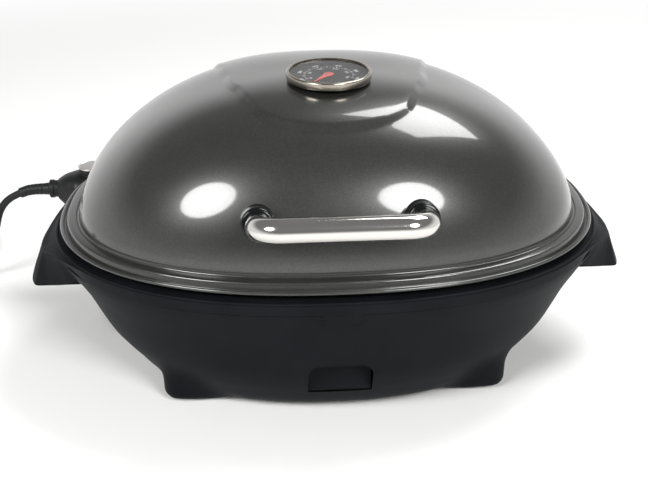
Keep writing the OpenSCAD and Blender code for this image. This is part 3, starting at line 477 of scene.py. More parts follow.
def makeTie(c):
    # a flat strap round the coil's bundle, a rounded loop carried along the coil by its width
    a = np.radians(c["turn"])
    t = fullTurn(72)
    rings = []
    for across, grow in ((-0.5, 0), (-0.5, 1), (0.5, 1), (0.5, 0)):
        du, dz = ovalPoint(c["half"][0] + grow * c["thick"], c["half"][1] + grow * c["thick"], 3.4, t)
        r, z = c["middle"][0] + du, np.maximum(0.02, c["middle"][1] + dz)
        off = across * c["width"]
        rings.append(np.stack([cord["coilPlace"][0] + r * np.cos(a) - off * np.sin(a),
                               cord["coilPlace"][1] + r * np.sin(a) + off * np.cos(a), z], -1))
    return makePiece("cord_tie", rings, gridQuads(4, 72, closeRows=True), "rubber", "control")


tiePiece = makeTie(tie)


# Lid: pressed dome with a raised crown panel, a brim with a groove, and a rolled hem

lid = {"halfWidth": 222, "halfDepth": 165.5, "foot": 140, "rise": 115, "planPower": 2.4, "sidePower": 2.5,
       "frontPower": 3.5, "heightPower": 1.535, "sheet": 1.4, "panelStep": 3, "panelSlope": 9,
       "hem": (240, 182.5, 2.3), "brim": 17.5, "columns": 480}
panelTurns = [-90, -70, -56, -47, -40, -24, 0, 24, 36, 43, 50, 90]
panelReach = [104, 104, 101, 92.5, 87.5, 81.5, 82, 97, 117, 134, 149, 149]
brimTop = [(0, 139.8), (0.7, 137.6), (2.2, 136.9), (3.3, 137.7), (5, 137.7), (9.2, 137.2), (10.6, 136.3),
           (11.5, 133.4), (12.3, 131.2), (13.2, 130.5), (14.1, 131.2)]
brimUnder = [(10.9, 129.9), (10.1, 132.8), (9.4, 135.2), (8.4, 135.9), (1.5, 135.7), (-1, 136.6), (-1.5, 139)]


def domeHeight(x, y, inset, c=lid):
    # foot + rise * (1 - r ^ (m / planPower)) ^ (1 / heightPower), where r is the plan's superellipse
    # sum and m goes from the side's to the front's power with the direction
    fx = (np.abs(x) / (c["halfWidth"] - inset)) ** c["planPower"]
    fy = (np.abs(y) / (c["halfDepth"] - inset)) ** c["planPower"]
    r = fx + fy
    m = (c["sidePower"] * fx + c["frontPower"] * fy) / np.maximum(r, 1e-9)
    fall = np.maximum(0, 1 - r ** (m / c["planPower"]))
    return c["foot"] + (c["rise"] - inset) * fall ** (1 / c["heightPower"])


def domeRings(c, inset, inner, slope, outer):
    # rings from the crown out: inside the panel's edge, over its slope, and down to the foot
    turn = fullTurn(c["columns"])
    reach = ovalReach(c["halfWidth"] - inset, c["halfDepth"] - inset, c["planPower"], turn)
    edge = np.minimum(smoothLookup(rightTurn(turn), panelTurns, panelReach), 0.86 * reach)
    out = [edge * (k / inner) for k in range(1, inner + 1)]
    raised = [1.0] * inner
    for k in range(1, slope + 1):
        out.append(edge + c["panelSlope"] * k / slope)
        raised.append(1 - smoothStep(k / slope))
    start = edge + c["panelSlope"]
    for k in range(1, outer + 1):
        out.append(start + (reach - start) * (1 - (1 - k / outer) ** 2.2))
        raised.append(0.0)
    out, raised = np.array(out), np.array(raised)[:, None]
    x, y = out * np.cos(turn), out * np.sin(turn)
    return np.stack([x, y, domeHeight(x, y, inset) + c["panelStep"] * raised], -1)


def brimRings(c, line):
    # rings of the brim: o of its width out from the dome's foot, at the height z
    turn = fullTurn(c["columns"])
    line = np.asarray(line, float)
    e = line[:, :1] / c["brim"]
    a = c["halfWidth"] + e * (c["hem"][0] - c["halfWidth"])
    b = c["halfDepth"] + e * (c["hem"][1] - c["halfDepth"])
    power = c["planPower"] + e * (c["hem"][2] - c["planPower"])
    return aroundZ(ovalReach(a, b, power, turn), turn, line[:, 1:])


def makeLid(c):
    outer = domeRings(c, 0, 22, 10, 44)
    inner = domeRings(c, c["sheet"], 10, 6, 26)[::-1]
    top = smoothLine(brimTop, 5)
    # the hem is rolled: a round bead 1.7 mm in radius at the brim's edge, turned in below
    roll = np.radians(np.linspace(135, -90, 18))
    hem = np.stack([15.8 + 1.7 * np.cos(roll), 130.9 + 1.7 * np.sin(roll)], -1)
    hem = np.vstack([hem, [(12.2, 129.2), (11.4, 129.3)]])
    under = smoothLine(brimUnder, 3)
    rings = np.vstack([outer, brimRings(c, top), brimRings(c, hem), brimRings(c, under), inner])
    crown, inside = (float(domeHeight(0.0, 0.0, inset)) + c["panelStep"] for inset in (0, c["sheet"]))
    points, faces = shellFrom(rings, (0, 0, crown), (0, 0, inside))
    obj = makePiece("lid_dome", points, faces, "lacquer", "lid", ["lid_shell"], sharpAngle=50)
    # the inside is plain enamel: every face after the hem's last ring
    outside = (len(outer) + len(top) + len(hem)) * c["columns"]
    slots = np.array([min(f.vertices) >= outside for f in obj.data.polygons], np.int32)
    obj.data.materials.append(finishes["enamel"])
    obj.data.polygons.foreach_set("material_index", slots)


makeLid(lid)
print("lid made")


# Base bowl: an oval bowl and four feet that grow out of it, blended into one skin

bowl = {"hem": (240, 182.5, 2.3), "top": 114, "floor": 9, "under": 6, "foot": (115, 102), "blend": 9,
        "footHalf": (18, 12), "footCorner": 8, "footRound": 8, "footEdge": 10, "footEnd": 1.5,
        "footTop": 57, "columns": 720, "rows": 60}
bowlHeights = [6, 7.2, 10, 15, 25, 35, 48, 60, 83, 100, 110, 114]
bowlSide = [-69, -65, -61.5, -56, -49, -41, -31.5, -25.5, -14.5, -4, 2, 3.5]
bowlFront = [-42, -38, -34.2, -30, -24, -18.5, -13, -9.5, -4, 0.3, 2.8, 3.5]
insideHeights = [9, 12, 25, 48, 83, 107, 114]
insideSide = [-71, -62, -52, -34.5, -17.5, -3.2, 0.5]
insideFront = [-43, -35.5, -27, -16, -7, -0.8, 0.5]


def bowlField(x, y, z, c=bowl):
    # roughly the distance outside the bowl, measured level; negative inside
    a = c["hem"][0] + smoothLookup(z, bowlHeights, bowlSide)
    b = c["hem"][1] + smoothLookup(z, bowlHeights, bowlFront)
    return np.hypot(x, y) - ovalReach(a, b, c["hem"][2], np.arctan2(y, x))


def footField(x, y, z, c=bowl):
    # rounded rectangle about the nearest foot's middle, drawn in near the floor and leaning out above
    low = np.clip((c["footEdge"] - z) / (c["footEdge"] - c["footEnd"]), 0, 1)
    corner = c["footCorner"] + c["footRound"] * np.sqrt(np.maximum(0, 1 - low ** 2))
    rise = np.clip((z - c["footEdge"]) / 46, 0, 1)
    corner = corner - 0.5 * rise
    qx = np.abs(np.abs(x) - c["foot"][0]) - (c["footHalf"][0] + 2 * rise)
    qy = np.abs(np.abs(y) - c["foot"][1]) - (c["footHalf"][1] - 3 * rise)
    outside = np.hypot(np.maximum(qx, 0), np.maximum(qy, 0)) + np.minimum(np.maximum(qx, qy), 0)
    return np.maximum(outside - corner, z - c["footTop"])


def baseField(x, y, z, c=bowl):
    # smooth least of both fields, blended over a fillet
    a, b = bowlField(x, y, z), footField(x, y, z)
    mix = np.clip(0.5 + 0.5 * (b - a) / c["blend"], 0, 1)
    return b * (1 - mix) + a * mix - c["blend"] * mix * (1 - mix)


def bowlSkin(c):
    # walks each point in until it lies on the skin
    turn = fullTurn(c["columns"])
    s = np.linspace(0, 1, c["rows"])
    z = (c["top"] - (c["top"] - c["under"]) * (1 - (1 - s) ** 1.5))[:, None] + 0 * turn
    far = np.full(z.shape, 262.0)
    for _ in range(60):
        far -= 0.7 * baseField(far * np.cos(turn), far * np.sin(turn), z)
    p = aroundZ(far, turn, z)
    # even out the spacing along the skin, then put the points back on it
    for _ in range(40):
        around = (np.roll(p, 1, 1) + np.roll(p, -1, 1)) / 2
        middle = p.copy()
        middle[1:-1] = (p[:-2] + p[2:]) / 2
        p[1:-1] += 0.5 * ((around + middle)[1:-1] / 2 - p[1:-1])
        for _ in range(2):
            x, y, h = p[..., 0], p[..., 1], p[..., 2]
            f = baseField(x, y, h)
            e = 0.05
            g = np.stack([baseField(x + e, y, h), baseField(x, y + e, h), baseField(x, y, h + e)], -1)
            g = (g - f[..., None]) / e
            step = (f / np.maximum((g ** 2).sum(-1), 0.2))[..., None] * g
            p[1:-1] -= np.clip(step, -2, 2)[1:-1]
    return p


def cutBy(obj, name, points, faces):
    # takes a closed tool shape out of a piece
    tool = addMesh(name, points, faces)
    change = obj.modifiers.new(name, "BOOLEAN")
    change.object = tool
    change.operation = "DIFFERENCE"
    change.solver = "EXACT"
    bpy.context.view_layer.update()
    cut = bpy.data.meshes.new_from_object(obj.evaluated_get(bpy.context.evaluated_depsgraph_get()))
    obj.modifiers.clear()
    obj.data = cut
    bpy.data.objects.remove(tool)


def prism(outline, axis, start, end):
    # closed straight solid: an outline of two coordinates pulled along the axis 0, 1 or 2
    outline = np.asarray(outline, float)
    rings = [np.insert(outline, axis, level, axis=1) for level in (start, end)]
    n = len(outline)
    faces = gridQuads(2, n) + [list(range(n)), list(range(2 * n - 1, n - 1, -1))]
    return np.vstack(rings), faces


mouth = {"half": 26.5, "low": 27, "height": 33, "corner": 12}


def mouthOutline(c):
    # a box with two round upper corners
    w, low, high, r = c["half"], c["low"], c["low"] + c["height"], c["corner"]
    quarter = np.radians(np.linspace(0, 90, 13))
    corners = [np.stack([side * (w - r) + r * np.cos(a), high - r + r * np.sin(a)], -1)
               for side, a in ((1, quarter), (-1, quarter + np.pi / 2))]
    return np.vstack([[(-w, low), (w, low)], *corners])


def makeBowl(c):
    skin = bowlSkin(c)
    turn = fullTurn(c["columns"])
    floorRings = np.stack([np.concatenate([skin[-1, :, :2] * f, np.full((c["columns"], 1), c["under"])], 1)
                           for f in (0.96, 0.85, 0.6, 0.3)])
    z = np.concatenate([[c["floor"], 10, 12, 15, 20], np.linspace(25, c["top"], 16)])[:, None]
    a = c["hem"][0] + smoothLookup(z, insideHeights, insideSide)
    b = c["hem"][1] + smoothLookup(z, insideHeights, insideFront)
    inside = aroundZ(ovalReach(a, b, c["hem"][2], turn), turn, z)
    rings = np.concatenate([inside, skin, floorRings])
    points, faces = shellFrom(rings, (0, 0, c["floor"]), (0, 0, c["under"]))
    obj = makePiece("base_bowl", points, faces, "plastic", "base", ["base_shell"])
    cutBy(obj, "mouth_tool", *prism(mouthOutline(mouth), 1, -182, -140))
    cutBy(obj, "inlet_tool", *prism([(91, 88.2), (139, 88.2), (139, 120), (91, 120)], 0, -245, -200))
    cutBy(obj, "hinge_tool", *prism([(-15, 105), (15, 105), (15, 125), (-15, 125)], 1, -192.5, -183.3))
    obj.data.set_sharp_from_angle(angle=math.radians(35))
    for k, (sx, sy) in enumerate(((-1, -1), (1, -1), (1, 1), (-1, 1))):
        makeFootEnd(c, k, sx, sy)


def makeFootEnd(c, number, sx, sy):
    # the rounded end of a foot under the bowl's floor, 0.1 mm inside the bowl's own skin
    t = fullTurn(96)
    low = np.linspace(0.1, 1, 12)[:, None]
    z = c["footEdge"] - (c["footEdge"] - c["footEnd"]) * low
    corner = c["footCorner"] + c["footRound"] * np.sqrt(1 - low ** 2) - 0.1
    x, y = sx * c["foot"][0], sy * c["foot"][1]
    rings = aroundZ(corner, t, z)
    rings[..., 0] += x + c["footHalf"][0] * np.clip(1.6 * np.cos(t), -1, 1)
    rings[..., 1] += y + c["footHalf"][1] * np.clip(1.6 * np.sin(t), -1, 1)
    points, faces = shellFrom(rings, (x, y, z[0, 0]), (x, y, c["footEnd"]))
    makePiece(f"foot_end_{number}", points, faces, "plastic", "base")


makeBowl(bowl)
print("bowl made")


# Rim frame: an oval trough under the lid's hem, with a swept handle on each side

rim = {"hem": (240, 182.5, 2.3), "part": 114, "sill": 117, "seat": 135.4, "rim": 124, "edge": 123.4,
       "out": 21, "columns": 960}
# the side handle by angle, front negative; for its top edge and its low edge: the reach sideways as
# a share of "out", the way along the edge (millimetres at the top, degrees below) and the height
wingTurns = [-45, -40.5, -36, -31.5, -27, -22.5, -18, -13.5, -9, -4.5, 0, 4.5, 9, 13.5, 18]
wingTop = [[0, 0, 0, 0.05, 0.14, 0.32, 0.5, 0.605, 0.62, 0.57, 0.43, 0.26, 0.11, 0.02, 0],
           [0, 0, 0, -0.8, -1.6, -1.7, -1.5, -0.6, 1.4, 2.5, 0, 0, 0, 0, 0],
           [123.4, 123.4, 123.4, 123.4, 123.4, 121.8,
            118.8, 115.3, 113.3, 113.3, 115.2, 118.6, 121.6, 123.2, 123.4]]
wingLow = [[0, 0, 0, 0, 0.02, 0.6, 1.38, 2.01, 2.06, 1.86, 1.42, 0.9, 0.4, 0.08, 0],
           [0, 0, 1, 4, 8, 4, 0.7, -2.3, -3.1, -3.4, -2, -1.6, -1, 0, 0],
           [114.3, 114.3, 113, 104, 88.9, 87, 85, 83.6, 83.4, 87, 95, 103, 109.5, 113.2, 114.3]]


def rimSections(c):
    # one closed loop for each angle: sill and seat inside, lip, side handle and its skirt outside
    t = fullTurn(c["columns"])
    u, side = rightTurn(t), np.sign(np.cos(t))
    topReach, topPush, topZ = (smoothLookup(u, wingTurns, v) for v in wingTop)
    lowReach, lowTurn, lowZ = (smoothLookup(u, wingTurns, v) for v in wingLow)

    def edge(o, z):
        x, y = ovalPoint(c["hem"][0] + o, c["hem"][1] + o, c["hem"][2], t)
        return np.stack([x, y, z + 0 * t], -1)

    def byBowl(z, gap, turn):
        a = c["hem"][0] + gap + np.interp(z, bowlHeights, bowlSide)
        b = c["hem"][1] + gap + np.interp(z, bowlHeights, bowlFront)
        x, y = ovalPoint(a, b, c["hem"][2], turn)
        return np.stack([x, y, z], -1)

    top = edge(5, topZ) + np.stack([side * c["out"] * topReach, topPush, 0 * t], -1)
    a = t + side * np.radians(lowTurn)
    low = byBowl(lowZ, 1.0, a) + np.stack([side * c["out"] * lowReach, 0 * t, 0 * t], -1)
    middleZ = lowZ + 0.6 * (c["part"] - lowZ)
    dish = (edge(4.2, c["edge"] - 1.2) + top) / 2 - np.stack([0 * t, 0 * t, 0.16 * c["out"] * topReach], -1)
    collar = [edge(-29, c["part"]), edge(-29, c["sill"]), edge(-16.8, c["sill"]), edge(-15.4, c["seat"]),
              edge(-9.9, c["seat"])]
    trough = [edge(-9.6, c["rim"] + 0.3), edge(1.8, c["rim"] + 0.3)]
    lip = [edge(2.3, c["rim"] + 0.9), edge(4.1, c["rim"] + 0.8), edge(4.4, c["edge"] - 0.8)]
    wing = [dish, top, low, byBowl(lowZ, 0.1, a), byBowl(middleZ, 0.4, 0.4 * a + 0.6 * t),
            edge(4.2, c["part"])]
    radii = [0.5, 0.8, 1.2, 0.8, 0.8, 1.2, 0.5, 0.6, 0.6, 0.6, 4, 1.4, 1.2, 0.5, 4, 0.3]
    return roundedLoop(collar + trough + lip + wing, radii, 4)


def makeRim(c):
    rings = rimSections(c)
    faces = gridQuads(*rings.shape[:2], closeRows=True)
    obj = makePiece("rim_and_handles", rings, faces, "plastic", "base", ["rim_frame"], sharpAngle=50)
    cutBy(obj, "control_tool", *prism([(91, 100), (139, 100), (139, 140), (91, 140)], 0, -255, -212))
    cutBy(obj, "leaf_tool", *prism([(-36, 113), (36, 113), (36, 133), (-36, 133)], 1, 186.8, 196.8))
    obj.data.set_sharp_from_angle(angle=math.radians(50))


tab = {"half": 14.7, "low": 105.3, "top": 114.2, "corner": 3, "front": -186.6}


def makeTab(c):
    # the flat latch tab on the front, a plate with two round lower corners that leans with the bowl
    w, r = c["half"], c["corner"]
    a = np.radians(np.linspace(0, 90, 9))
    right = np.stack([w - r + r * np.sin(a[::-1]), c["low"] + r - r * np.cos(a[::-1])], -1)
    outline = np.vstack([[(-w, c["top"]), (w, c["top"])], right, right[::-1] * [-1, 1]])
    points, faces = prism(outline, 1, -183, c["front"])
    points[:, 1] += (points[:, 2] - c["top"]) * -0.16 * (points[:, 1] < -184)
    obj = makePiece("front_tab", points, faces, "plastic", "base", sharpAngle=30)
    roundEdges(obj, 0.6, 3)


makeTab(tab)
makeRim(rim)
print("rim made")


# Pieces turned on an axis and pieces taken over from the frame

def makeTurned(name, profile, origin, zWay, finish, body, replaced=(), sides=96, sharpAngle=30):
    # profile of (radius, height) from one pole to the other, turned round the axis zWay
    profile = np.asarray(profile, float)
    rings = placed(latheRings(profile[1:-1], sides), origin, zWay, (1, 0, 0.001))
    poles = placed([(0, 0, profile[0, 1]), (0, 0, profile[-1, 1])], origin, zWay, (1, 0, 0.001))
    points, faces = shellFrom(rings, poles[0], poles[1])
    makePiece(name, points, faces, finish, body, replaced, sharpAngle)


def dress(finish, *names):
    # a CAD node that keeps its shape takes a finish in each of its slots
    for name in names:
        for slot in nodes[name].material_slots:
            slot.material = finishes[finish]


def soften(name, finish, body, width):
    # a copy of a CAD node with its triangles joined and its hard edges rounded by the width
    shape = bmesh.new()
    shape.from_mesh(nodes[name].data)
    bmesh.ops.remove_doubles(shape, verts=shape.verts, dist=0.002 * mm)
    bmesh.ops.dissolve_limit(shape, angle_limit=math.radians(1), verts=shape.verts, edges=shape.edges)
    mesh = bpy.data.meshes.new(name + "_soft")
    shape.to_mesh(mesh)
    shape.free()
    obj = addObject(name + "_soft", mesh)
    smoothShade(mesh, 30)
    mesh.materials.clear()
    mesh.materials.append(finishes[finish])
    roundEdges(obj, width, 2).harden_normals = True
    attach(obj, body)
    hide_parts(name)


# Handle: a bent polished tube on two collars that follow the dome

handle = {"radius": 9.6, "half": 73, "y": -200, "z": 193.5, "dip": 15.6, "bend": 18, "collar": 12.8,
          "lap": 6, "gap": 10.5, "sink": 0.4}


def handleFrame(c):
    # origin at the tube's middle, the way along the stubs and the way square to the handle's plane
    dip = np.radians(c["dip"])
    return (np.array([0, c["y"], c["z"]]), np.array([0, np.cos(dip), -np.sin(dip)]),
            np.array([0, np.sin(dip), np.cos(dip)]))


def stubLength(c):
    # halves the span until the stub's axis meets the dome, then keeps off it by the gap
    origin, along, _ = handleFrame(c)
    near, far = 20.0, 80.0
    for _ in range(20):
        middle = (near + far) / 2
        x, y, z = origin + middle * along + np.array([c["half"] - c["radius"], 0, 0])
        near, far = (middle, far) if z > domeHeight(x, y, 0) else (near, middle)
    return near - c["gap"]


def makeHandle(c):
    origin, along, up = handleFrame(c)
    stub, side, r = stubLength(c), c["half"] - c["radius"], c["bend"]
    a = np.radians(np.linspace(0, 90, 25))
    corner = np.stack([side - r + r * np.sin(a[::-1]), r - r * np.cos(a[::-1])], -1)
    end = np.stack([np.full(6, side), np.linspace(stub, r + 0.5, 6)], -1)
    bar = np.stack([np.linspace(side - r - 0.5, 0, 12), np.zeros(12)], -1)
    right = np.vstack([end, corner, bar])
    flat = np.vstack([right, right[-2::-1] * [-1, 1]])
    path = origin + flat[:, :1] * np.array([1, 0, 0]) + flat[:, 1:] * along
    points, faces = shellFrom(tubeRings(path, c["radius"], 64, up), path[0], path[-1])
    makePiece("handle_bar", points, faces, "tube", "lid", ["handle_tube"], sharpAngle=60)
    t = fullTurn(72)
    share = np.array([0, 0.01, 0.03, 0.07, 0.14, 0.3, 0.6, 0.84, 0.93, 0.98, 1.0])
    wide = c["collar"] - np.array([3.3, 1.6, 0.8, 0.3, 0, 0.1, 0.2, 0, -0.3, -0.5, -0.5])
    for word, sx in (("left", -1), ("right", 1)):
        base = origin + sx * side * np.array([1, 0, 0]) + stub * along
        ways = np.cos(t)[:, None] * np.array([1, 0, 0]) + np.sin(t)[:, None] * up
        # how far each line of the collar runs before it sinks into the dome
        near, far = np.zeros(len(t)), np.full(len(t), 50.0)
        for _ in range(24):
            middle = (near + far) / 2
            q = base + c["collar"] * ways + middle[:, None] * along
            outside = q[:, 2] > domeHeight(q[:, 0], q[:, 1], 0) - c["sink"]
            near, far = np.where(outside, middle, near), np.where(outside, far, middle)
        run = -c["lap"] + share[:, None] * (near + c["lap"])
        rings = base + wide[:, None, None] * ways + run[..., None] * along
        points, faces = shellFrom(rings, base - c["lap"] * along, base + near.min() * along)
        makePiece(f"handle_collar_{word}", points, faces, "glossBlack", "lid",
                  ["handle_ferrules"], sharpAngle=45)


makeHandle(handle)
print("handle made")


# Thermometer: a turned steel case with a printed face, a red pointer and a window

dial = {"radius": 36, "height": 7, "seat": -5.8, "place": (0, -37.6, 265.581), "tilt": 2.2,
        "scale": (205, -25), "ticks": 31, "tickStart": 19.8, "tickEnds": (22.4, 21.2),
        "tickHalves": (0.36, 0.22), "print": (-4.79, -4.74), "figure": -4.76, "ink": 0.025}
# rows of figures: name, distance from the middle, height, values
dialRows = [("outer", 25.2, 4.185, range(100, 601, 100)), ("inner", 16.6, 3.55725, range(50, 301, 50))]
pointer = {"turn": -125, "level": -4.0, "thick": 0.35, "away": [-4, -3.4, -1.5, 0, 2.5, 8, 16, 22, 23],
           "half": [0.05, 2.4, 3.9, 4.2, 3.7, 2.2, 1.3, 0.7, 0.05]}
dialTilt = math.radians(dial["tilt"])
dialWay = (0, -math.sin(dialTilt), math.cos(dialTilt))


def makeDial(c):
    r, h, seat = c["radius"], c["height"], c["seat"]
    case = [(0, seat), (r - 1.6, seat), (r - 1.6, -1.2), (r - 2.7, -1.2), (r - 2.8, -0.6), (r - 2.4, -0.1),
            (r - 1.8, 0), (r - 1.0, -0.05), (r - 0.4, -0.35), (r - 0.05, -0.9), (r, -1.4), (r, -h + 1.3),
            (r - 0.2, -h + 0.6), (r - 0.8, -h + 0.1), (r - 1.4, -h), (6, -h), (6, -h - 24), (0, -h - 24)]
    makeTurned("dial_case", case, c["place"], dialWay, "bezel", "lid", ["dial_housing"], 144, 35)
    face = [(0, seat), (r - 1.6, seat), (r - 1.6, -4.3), (r - 3, -4.8), (0, -4.8)]
    makeTurned("dial_face", face, c["place"], dialWay, "dialBlack", "lid", ["dial_plate"], 144, 20)
    window = [(0, -2.2), (r - 1.6, -2.2), (r - 1.6, -1.25), (r - 8, -1.08), (r - 18, -0.95), (0, -0.9)]
    makeTurned("dial_window", window, c["place"], dialWay, "glass", "lid", ["dial_glass"], 144, 20)


def makePointer(c):
    # half width along its length as a rounded hub that draws in to a slim tip, raised over the hub
    first, last, widest = c["away"][0], c["away"][-1], max(c["half"])
    x = np.linspace(first, last, 61)[:, None]
    half = smoothLookup(x, c["away"], c["half"])
    t = fullTurn(20)
    swell = c["thick"] * (np.sin(t) + half / widest * np.maximum(0, np.sin(t)))
    rings = np.stack([x + 0 * t, half * np.cos(t), c["level"] + swell], -1)
    turn = math.radians(c["turn"])
    xWay = (math.cos(turn), math.sin(turn), 0)
    ends = placed([(first, 0, c["level"]), (last, 0, c["level"])], dial["place"], dialWay, xWay)
    points, faces = shellFrom(placed(rings, dial["place"], dialWay, xWay), ends[0], ends[1])
    makePiece("dial_pointer", points, faces, "needleRed", "needle", ["dial_needle"], sharpAngle=60)


def makeTicks(c):
    # small bars 0.05 mm high round the face, every third one longer and wider
    n = c["ticks"]
    turns = np.linspace(*np.radians(c["scale"]), n)
    major = np.arange(n) % 3 == 0
    end, half = (np.where(major, *c[key])[:, None] for key in ("tickEnds", "tickHalves"))
    out = np.stack([np.cos(turns), np.sin(turns)], -1)
    across = np.stack([-out[:, 1], out[:, 0]], -1) * half
    start, end = out * c["tickStart"], out * end
    corners = np.stack([start - across, end - across, end + across, start + across], 1)
    low, high = (np.concatenate([corners, np.full((n, 4, 1), z)], -1) for z in c["print"])
    points = np.concatenate([low, high], 1).reshape(-1, 3)
    box = np.array([(4, 5, 6, 7), (3, 2, 1, 0), (0, 1, 5, 4), (1, 2, 6, 5), (2, 3, 7, 6), (3, 0, 4, 7)])
    faces = (box[None] + 8 * np.arange(n)[:, None, None]).reshape(-1, 4).tolist()
    makePiece("dial_ticks", placed(points, c["place"], dialWay, (1, 0, 0)), faces, "dialWhite", "lid",
              sharpAngle=20)


def makeFigure(c, name, value, radius, height, turn):
    # a printed number whose top points away from the dial's middle
    text = bpy.data.curves.new("figure", "FONT")
    text.body, text.size, text.extrude = str(value), height, c["ink"]
    text.align_x, text.align_y = "CENTER", "CENTER"
    maker = addObject("figure", text)
    bpy.context.view_layer.update()
    flat = bpy.data.meshes.new_from_object(maker.evaluated_get(bpy.context.evaluated_depsgraph_get()))
    bpy.data.objects.remove(maker)
    raw = np.empty(len(flat.vertices) * 3)
    flat.vertices.foreach_get("co", raw)
    raw = raw.reshape(-1, 3)
    lean = turn - math.pi / 2
    x = raw[:, 0] * math.cos(lean) - raw[:, 1] * math.sin(lean) + radius * math.cos(turn)
    y = raw[:, 0] * math.sin(lean) + raw[:, 1] * math.cos(lean) + radius * math.sin(turn)
    points = placed(np.stack([x, y, raw[:, 2] + c["figure"]], -1), c["place"], dialWay, (1, 0, 0))
    makePiece(name, points, [list(f.vertices) for f in flat.polygons], "dialWhite", "lid", sharpAngle=20)


makeDial(dial)
makePointer(pointer)
makeTicks(dial)
for row, radius, height, values in dialRows:
    start, end = np.radians(dial["scale"])
    for k, value in enumerate(values):
        makeFigure(dial, f"dial_figure_{row}_{k}", value, radius, height, start + (end - start) * k / 5)
print("thermometer made")


# Heat control: two half shells, a round knob with a metal disc

control = {"line": 101, "y": 115, "power": 2.5, "knob": (-231, 115, 101), "knobRadius": 13.2,
           "seam": 0.35, "seamWidth": 0.7, "join": 0.03}
controlAt = [-266, -264, -258.5, -252, -244, -220, -214, -213]
controlHalf = [9.8, 11.6, 16, 19.4, 22.6, 22.6, 21.8, 21]
controlUp = [13.2, 14.6, 17.6, 19.6, 21, 21, 20, 19.2]
controlDown = [6.2, 8.4, 13.6, 17.4, 20.8, 20.8, 20, 19.2]


def makeControl(c):
    x = np.concatenate([np.linspace(-266, -264, 4), np.linspace(-263, -215, 60), np.linspace(-214, -213, 5)])
    half = smoothLookup(x, controlAt, controlHalf)
    for name, reach, sign in (("upper", controlUp, 1), ("lower", controlDown, -1)):
        tall = smoothLookup(x, controlAt, reach)
        a = np.linspace(0, np.pi, 49)
        # half a superellipse, whose edge turns in to the seam, and a flat side that closes it
        y, z = ovalPoint(half[:, None], tall[:, None], c["power"], a[None, :])
        y = y - np.sign(y) * c["seam"] * np.exp(-(z / c["seamWidth"]) ** 2)
        flat = np.linspace(-1, 1, 9)[None, 1:-1] * (half[:, None] - c["seam"])
        y = np.concatenate([y, flat], 1)
        z = np.concatenate([np.maximum(z, c["join"]), np.full(flat.shape, c["join"])], 1)
        rings = np.stack([x[:, None] + 0 * y, c["y"] + sign * y, c["line"] + sign * z], -1)
        first, last = ((x[k], c["y"], c["line"] + sign * tall[k] / 2) for k in (0, -1))
        points, faces = shellFrom(rings, first, last)
        makePiece(f"control_{name}_shell", points, faces, "controlBody", "control", [f"control_{name}"])
    r, place = c["knobRadius"], c["knob"]
    collar = [(0, 10), (r - 0.6, 10), (r - 0.6, 20.2), (r - 1.0, 20.9), (r - 1.8, 21.3), (3.3, 21.4),
              (0, 21.4)]
    makeTurned("control_collar", collar, place, (0, 0, 1), "controlBody", "control", (), 72)
    knob = [(0, 21.8), (r - 1.0, 21.8), (r - 0.5, 22.2), (r - 0.5, 25.6), (r - 0.9, 26), (0, 26)]
    makeTurned("knob_base", knob, place, (0, 0, 1), "controlBody", "knob", ["control_knob"], 72)
    disc = [(0, 26), (r - 0.5, 26), (r, 26.3), (r, 27.3), (r - 0.4, 27.75), (r - 1.1, 27.8), (r - 1.5, 27.5),
            (r - 2.0, 27.5), (r - 2.3, 27.7), (r * 0.6, 27.85), (0, 27.9)]
    makeTurned("knob_disc", disc, place, (0, 0, 1), "disc", "knob", ["knob_cap"], 96)


makeControl(control)
soften("drawer_front", "plastic", "drawer", 0.6)
soften("grease_tray", "sheetSteel", "drawer", 0.4)
soften("grill_plate", "plate", "base", 0.7)
soften("hinge_leaf", "plastic", "base", 0.5)
soften("lid_bracket", "sheetSteel", "lid", 0.4)
soften("bracket_rivets", "zinc", "lid", 0.5)
soften("leaf_screws", "zinc", "base", 0.4)
dress("pad", "foot_pads")
dress("zinc", "rim_screws", "pan_screws", "guide_screws", "hinge_pin", "handle_inserts", "handle_screws",
      "dial_nut", "dial_probe", "control_probe", "control_screws")
dress("sheetSteel", "drip_pan", "element_clips")
dress("heater", "heating_element")
dress("controlBody", "socket_shroud", "control_nose")
dress("brass", "contact_pins", "control_contacts", "plug_pins")
dress("plastic", "drawer_guide")
dress("rubber", "dial_gasket")
print("heat control and fittings made")


# Studio: a pale floor, a white surround, three soft lamps

studio = {"floor": "#f3f3f1", "floorHalf": 4000, "fade": (0.7, 1.7), "ceiling": 0.24, "front": 0.2}


def makeStudio(c):
    half = c["floorHalf"]
    corners = [(-half, -half, 0), (half, -half, 0), (half, half, 0), (-half, half, 0)]
    floor = addMesh("floor", corners, [(0, 1, 2, 3)])
    material, tree, shader, place = newMaterial("matt_paper_floor", {
        "Roughness": 0.9, "Specular IOR Level": 0.1, "Base Color": toLinear(c["floor"])})
    # far from the object the floor fades to the white that camera, mirror and glass rays see
    reach = addNode(tree, "ShaderNodeVectorMath", {"operation": "LENGTH"}, {0: place})
    far = rangeNode(tree, reach.outputs["Value"], *c["fade"], 0.0, 1.0)
    path = addNode(tree, "ShaderNodeLightPath").outputs
    seen = path["Is Camera Ray"]
    for ray in ("Is Glossy Ray", "Is Transmission Ray"):
        seen = mathNode(tree, "MAXIMUM", seen, path[ray])
    white = addNode(tree, "ShaderNodeEmission", {"Color": (1, 1, 1, 1), "Strength": 1.0})
    both = addNode(tree, "ShaderNodeMixShader", None, {
        0: mathNode(tree, "MULTIPLY", far, seen), 1: shader.outputs[0], 2: white.outputs[0]})
    output = next(node for node in tree.nodes if node.type == "OUTPUT_MATERIAL")
    tree.links.new(both.outputs[0], output.inputs["Surface"])
    floor.data.materials.append(material)


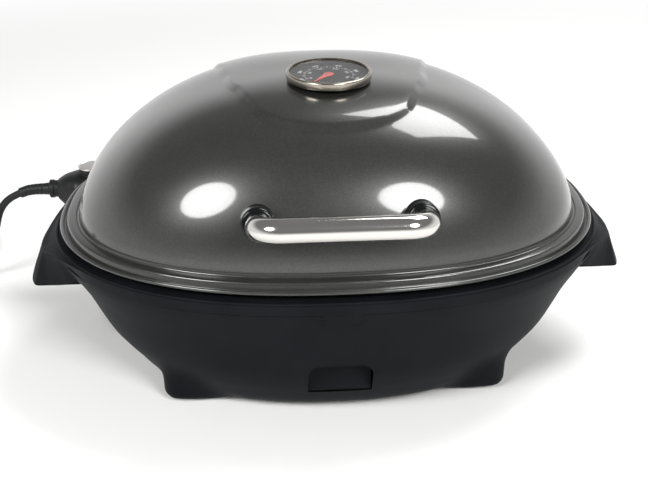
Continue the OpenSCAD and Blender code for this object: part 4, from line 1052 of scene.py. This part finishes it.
def makeLamp(name, place, aim, size, power, shape="DISK"):
    # a flat lamp; places and size in metres, power in watts
    data = bpy.data.lights.new(name, "AREA")
    data.shape = shape
    data.size = size
    data.energy = power
    obj = addObject(name, data)
    obj.location = place
    obj.rotation_mode = "QUATERNION"
    obj.rotation_quaternion = (Vector(aim) - Vector(place)).to_track_quat("-Z", "Y")


def makeWorld(c):
    # white for the camera; mirror and glass rays see it white too, up to higher at the back than at the
    # front, and greyer overhead; the light that falls on the object is weaker from the front
    world = bpy.data.worlds.new("studio")
    bpy.context.scene.world = world
    world.use_nodes = True
    tree = world.node_tree
    tree.nodes.clear()
    way = addNode(tree, "ShaderNodeTexCoord").outputs["Generated"]
    parts = addNode(tree, "ShaderNodeSeparateXYZ", None, {0: way})
    behind = rangeNode(tree, parts.outputs["Y"], -0.3, 0.7, c["front"], 0.95)
    above = rangeNode(tree, parts.outputs["Z"], 0.25, 0.75, 1.0, c["ceiling"])
    level = mathNode(tree, "MULTIPLY", behind, above)
    path = addNode(tree, "ShaderNodeLightPath").outputs
    mirrored = mathNode(tree, "MAXIMUM", path["Is Glossy Ray"], path["Is Transmission Ray"])
    lean = addNode(tree, "ShaderNodeMath", {"operation": "MULTIPLY_ADD", 1: -0.25},
                   {0: parts.outputs["Y"], 2: parts.outputs["Z"]})
    wall = rangeNode(tree, lean.outputs[0], 0.05, 0.38, 1.0, c["ceiling"])
    shade = addNode(tree, "ShaderNodeMix", {"data_type": "FLOAT"}, {"Factor": mirrored, 2: level, 3: wall})
    last = addNode(tree, "ShaderNodeMix", {"data_type": "FLOAT", 3: 1.0},
                   {"Factor": path["Is Camera Ray"], 2: shade.outputs[0]})
    back = addNode(tree, "ShaderNodeBackground", {"Color": (1, 1, 1, 1)}, {"Strength": last.outputs[0]})
    addNode(tree, "ShaderNodeOutputWorld", None, {"Surface": back.outputs[0]})


bpy.context.scene.view_settings.view_transform = "Standard"
makeStudio(studio)
makeWorld(studio)
makeLamp("left_lamp", (-1.16, -1.15, 1.24), (-0.1, -0.13, 0.19), 0.8, 29)
makeLamp("right_lamp", (0.78, -1.5, 1.19), (0.06, -0.14, 0.19), 0.75, 27)
makeLamp("top_box", (0.92, 0.75, 2.0), (0.07, -0.1, 0.23), 1.1, 40, "SQUARE")
print("studio made")
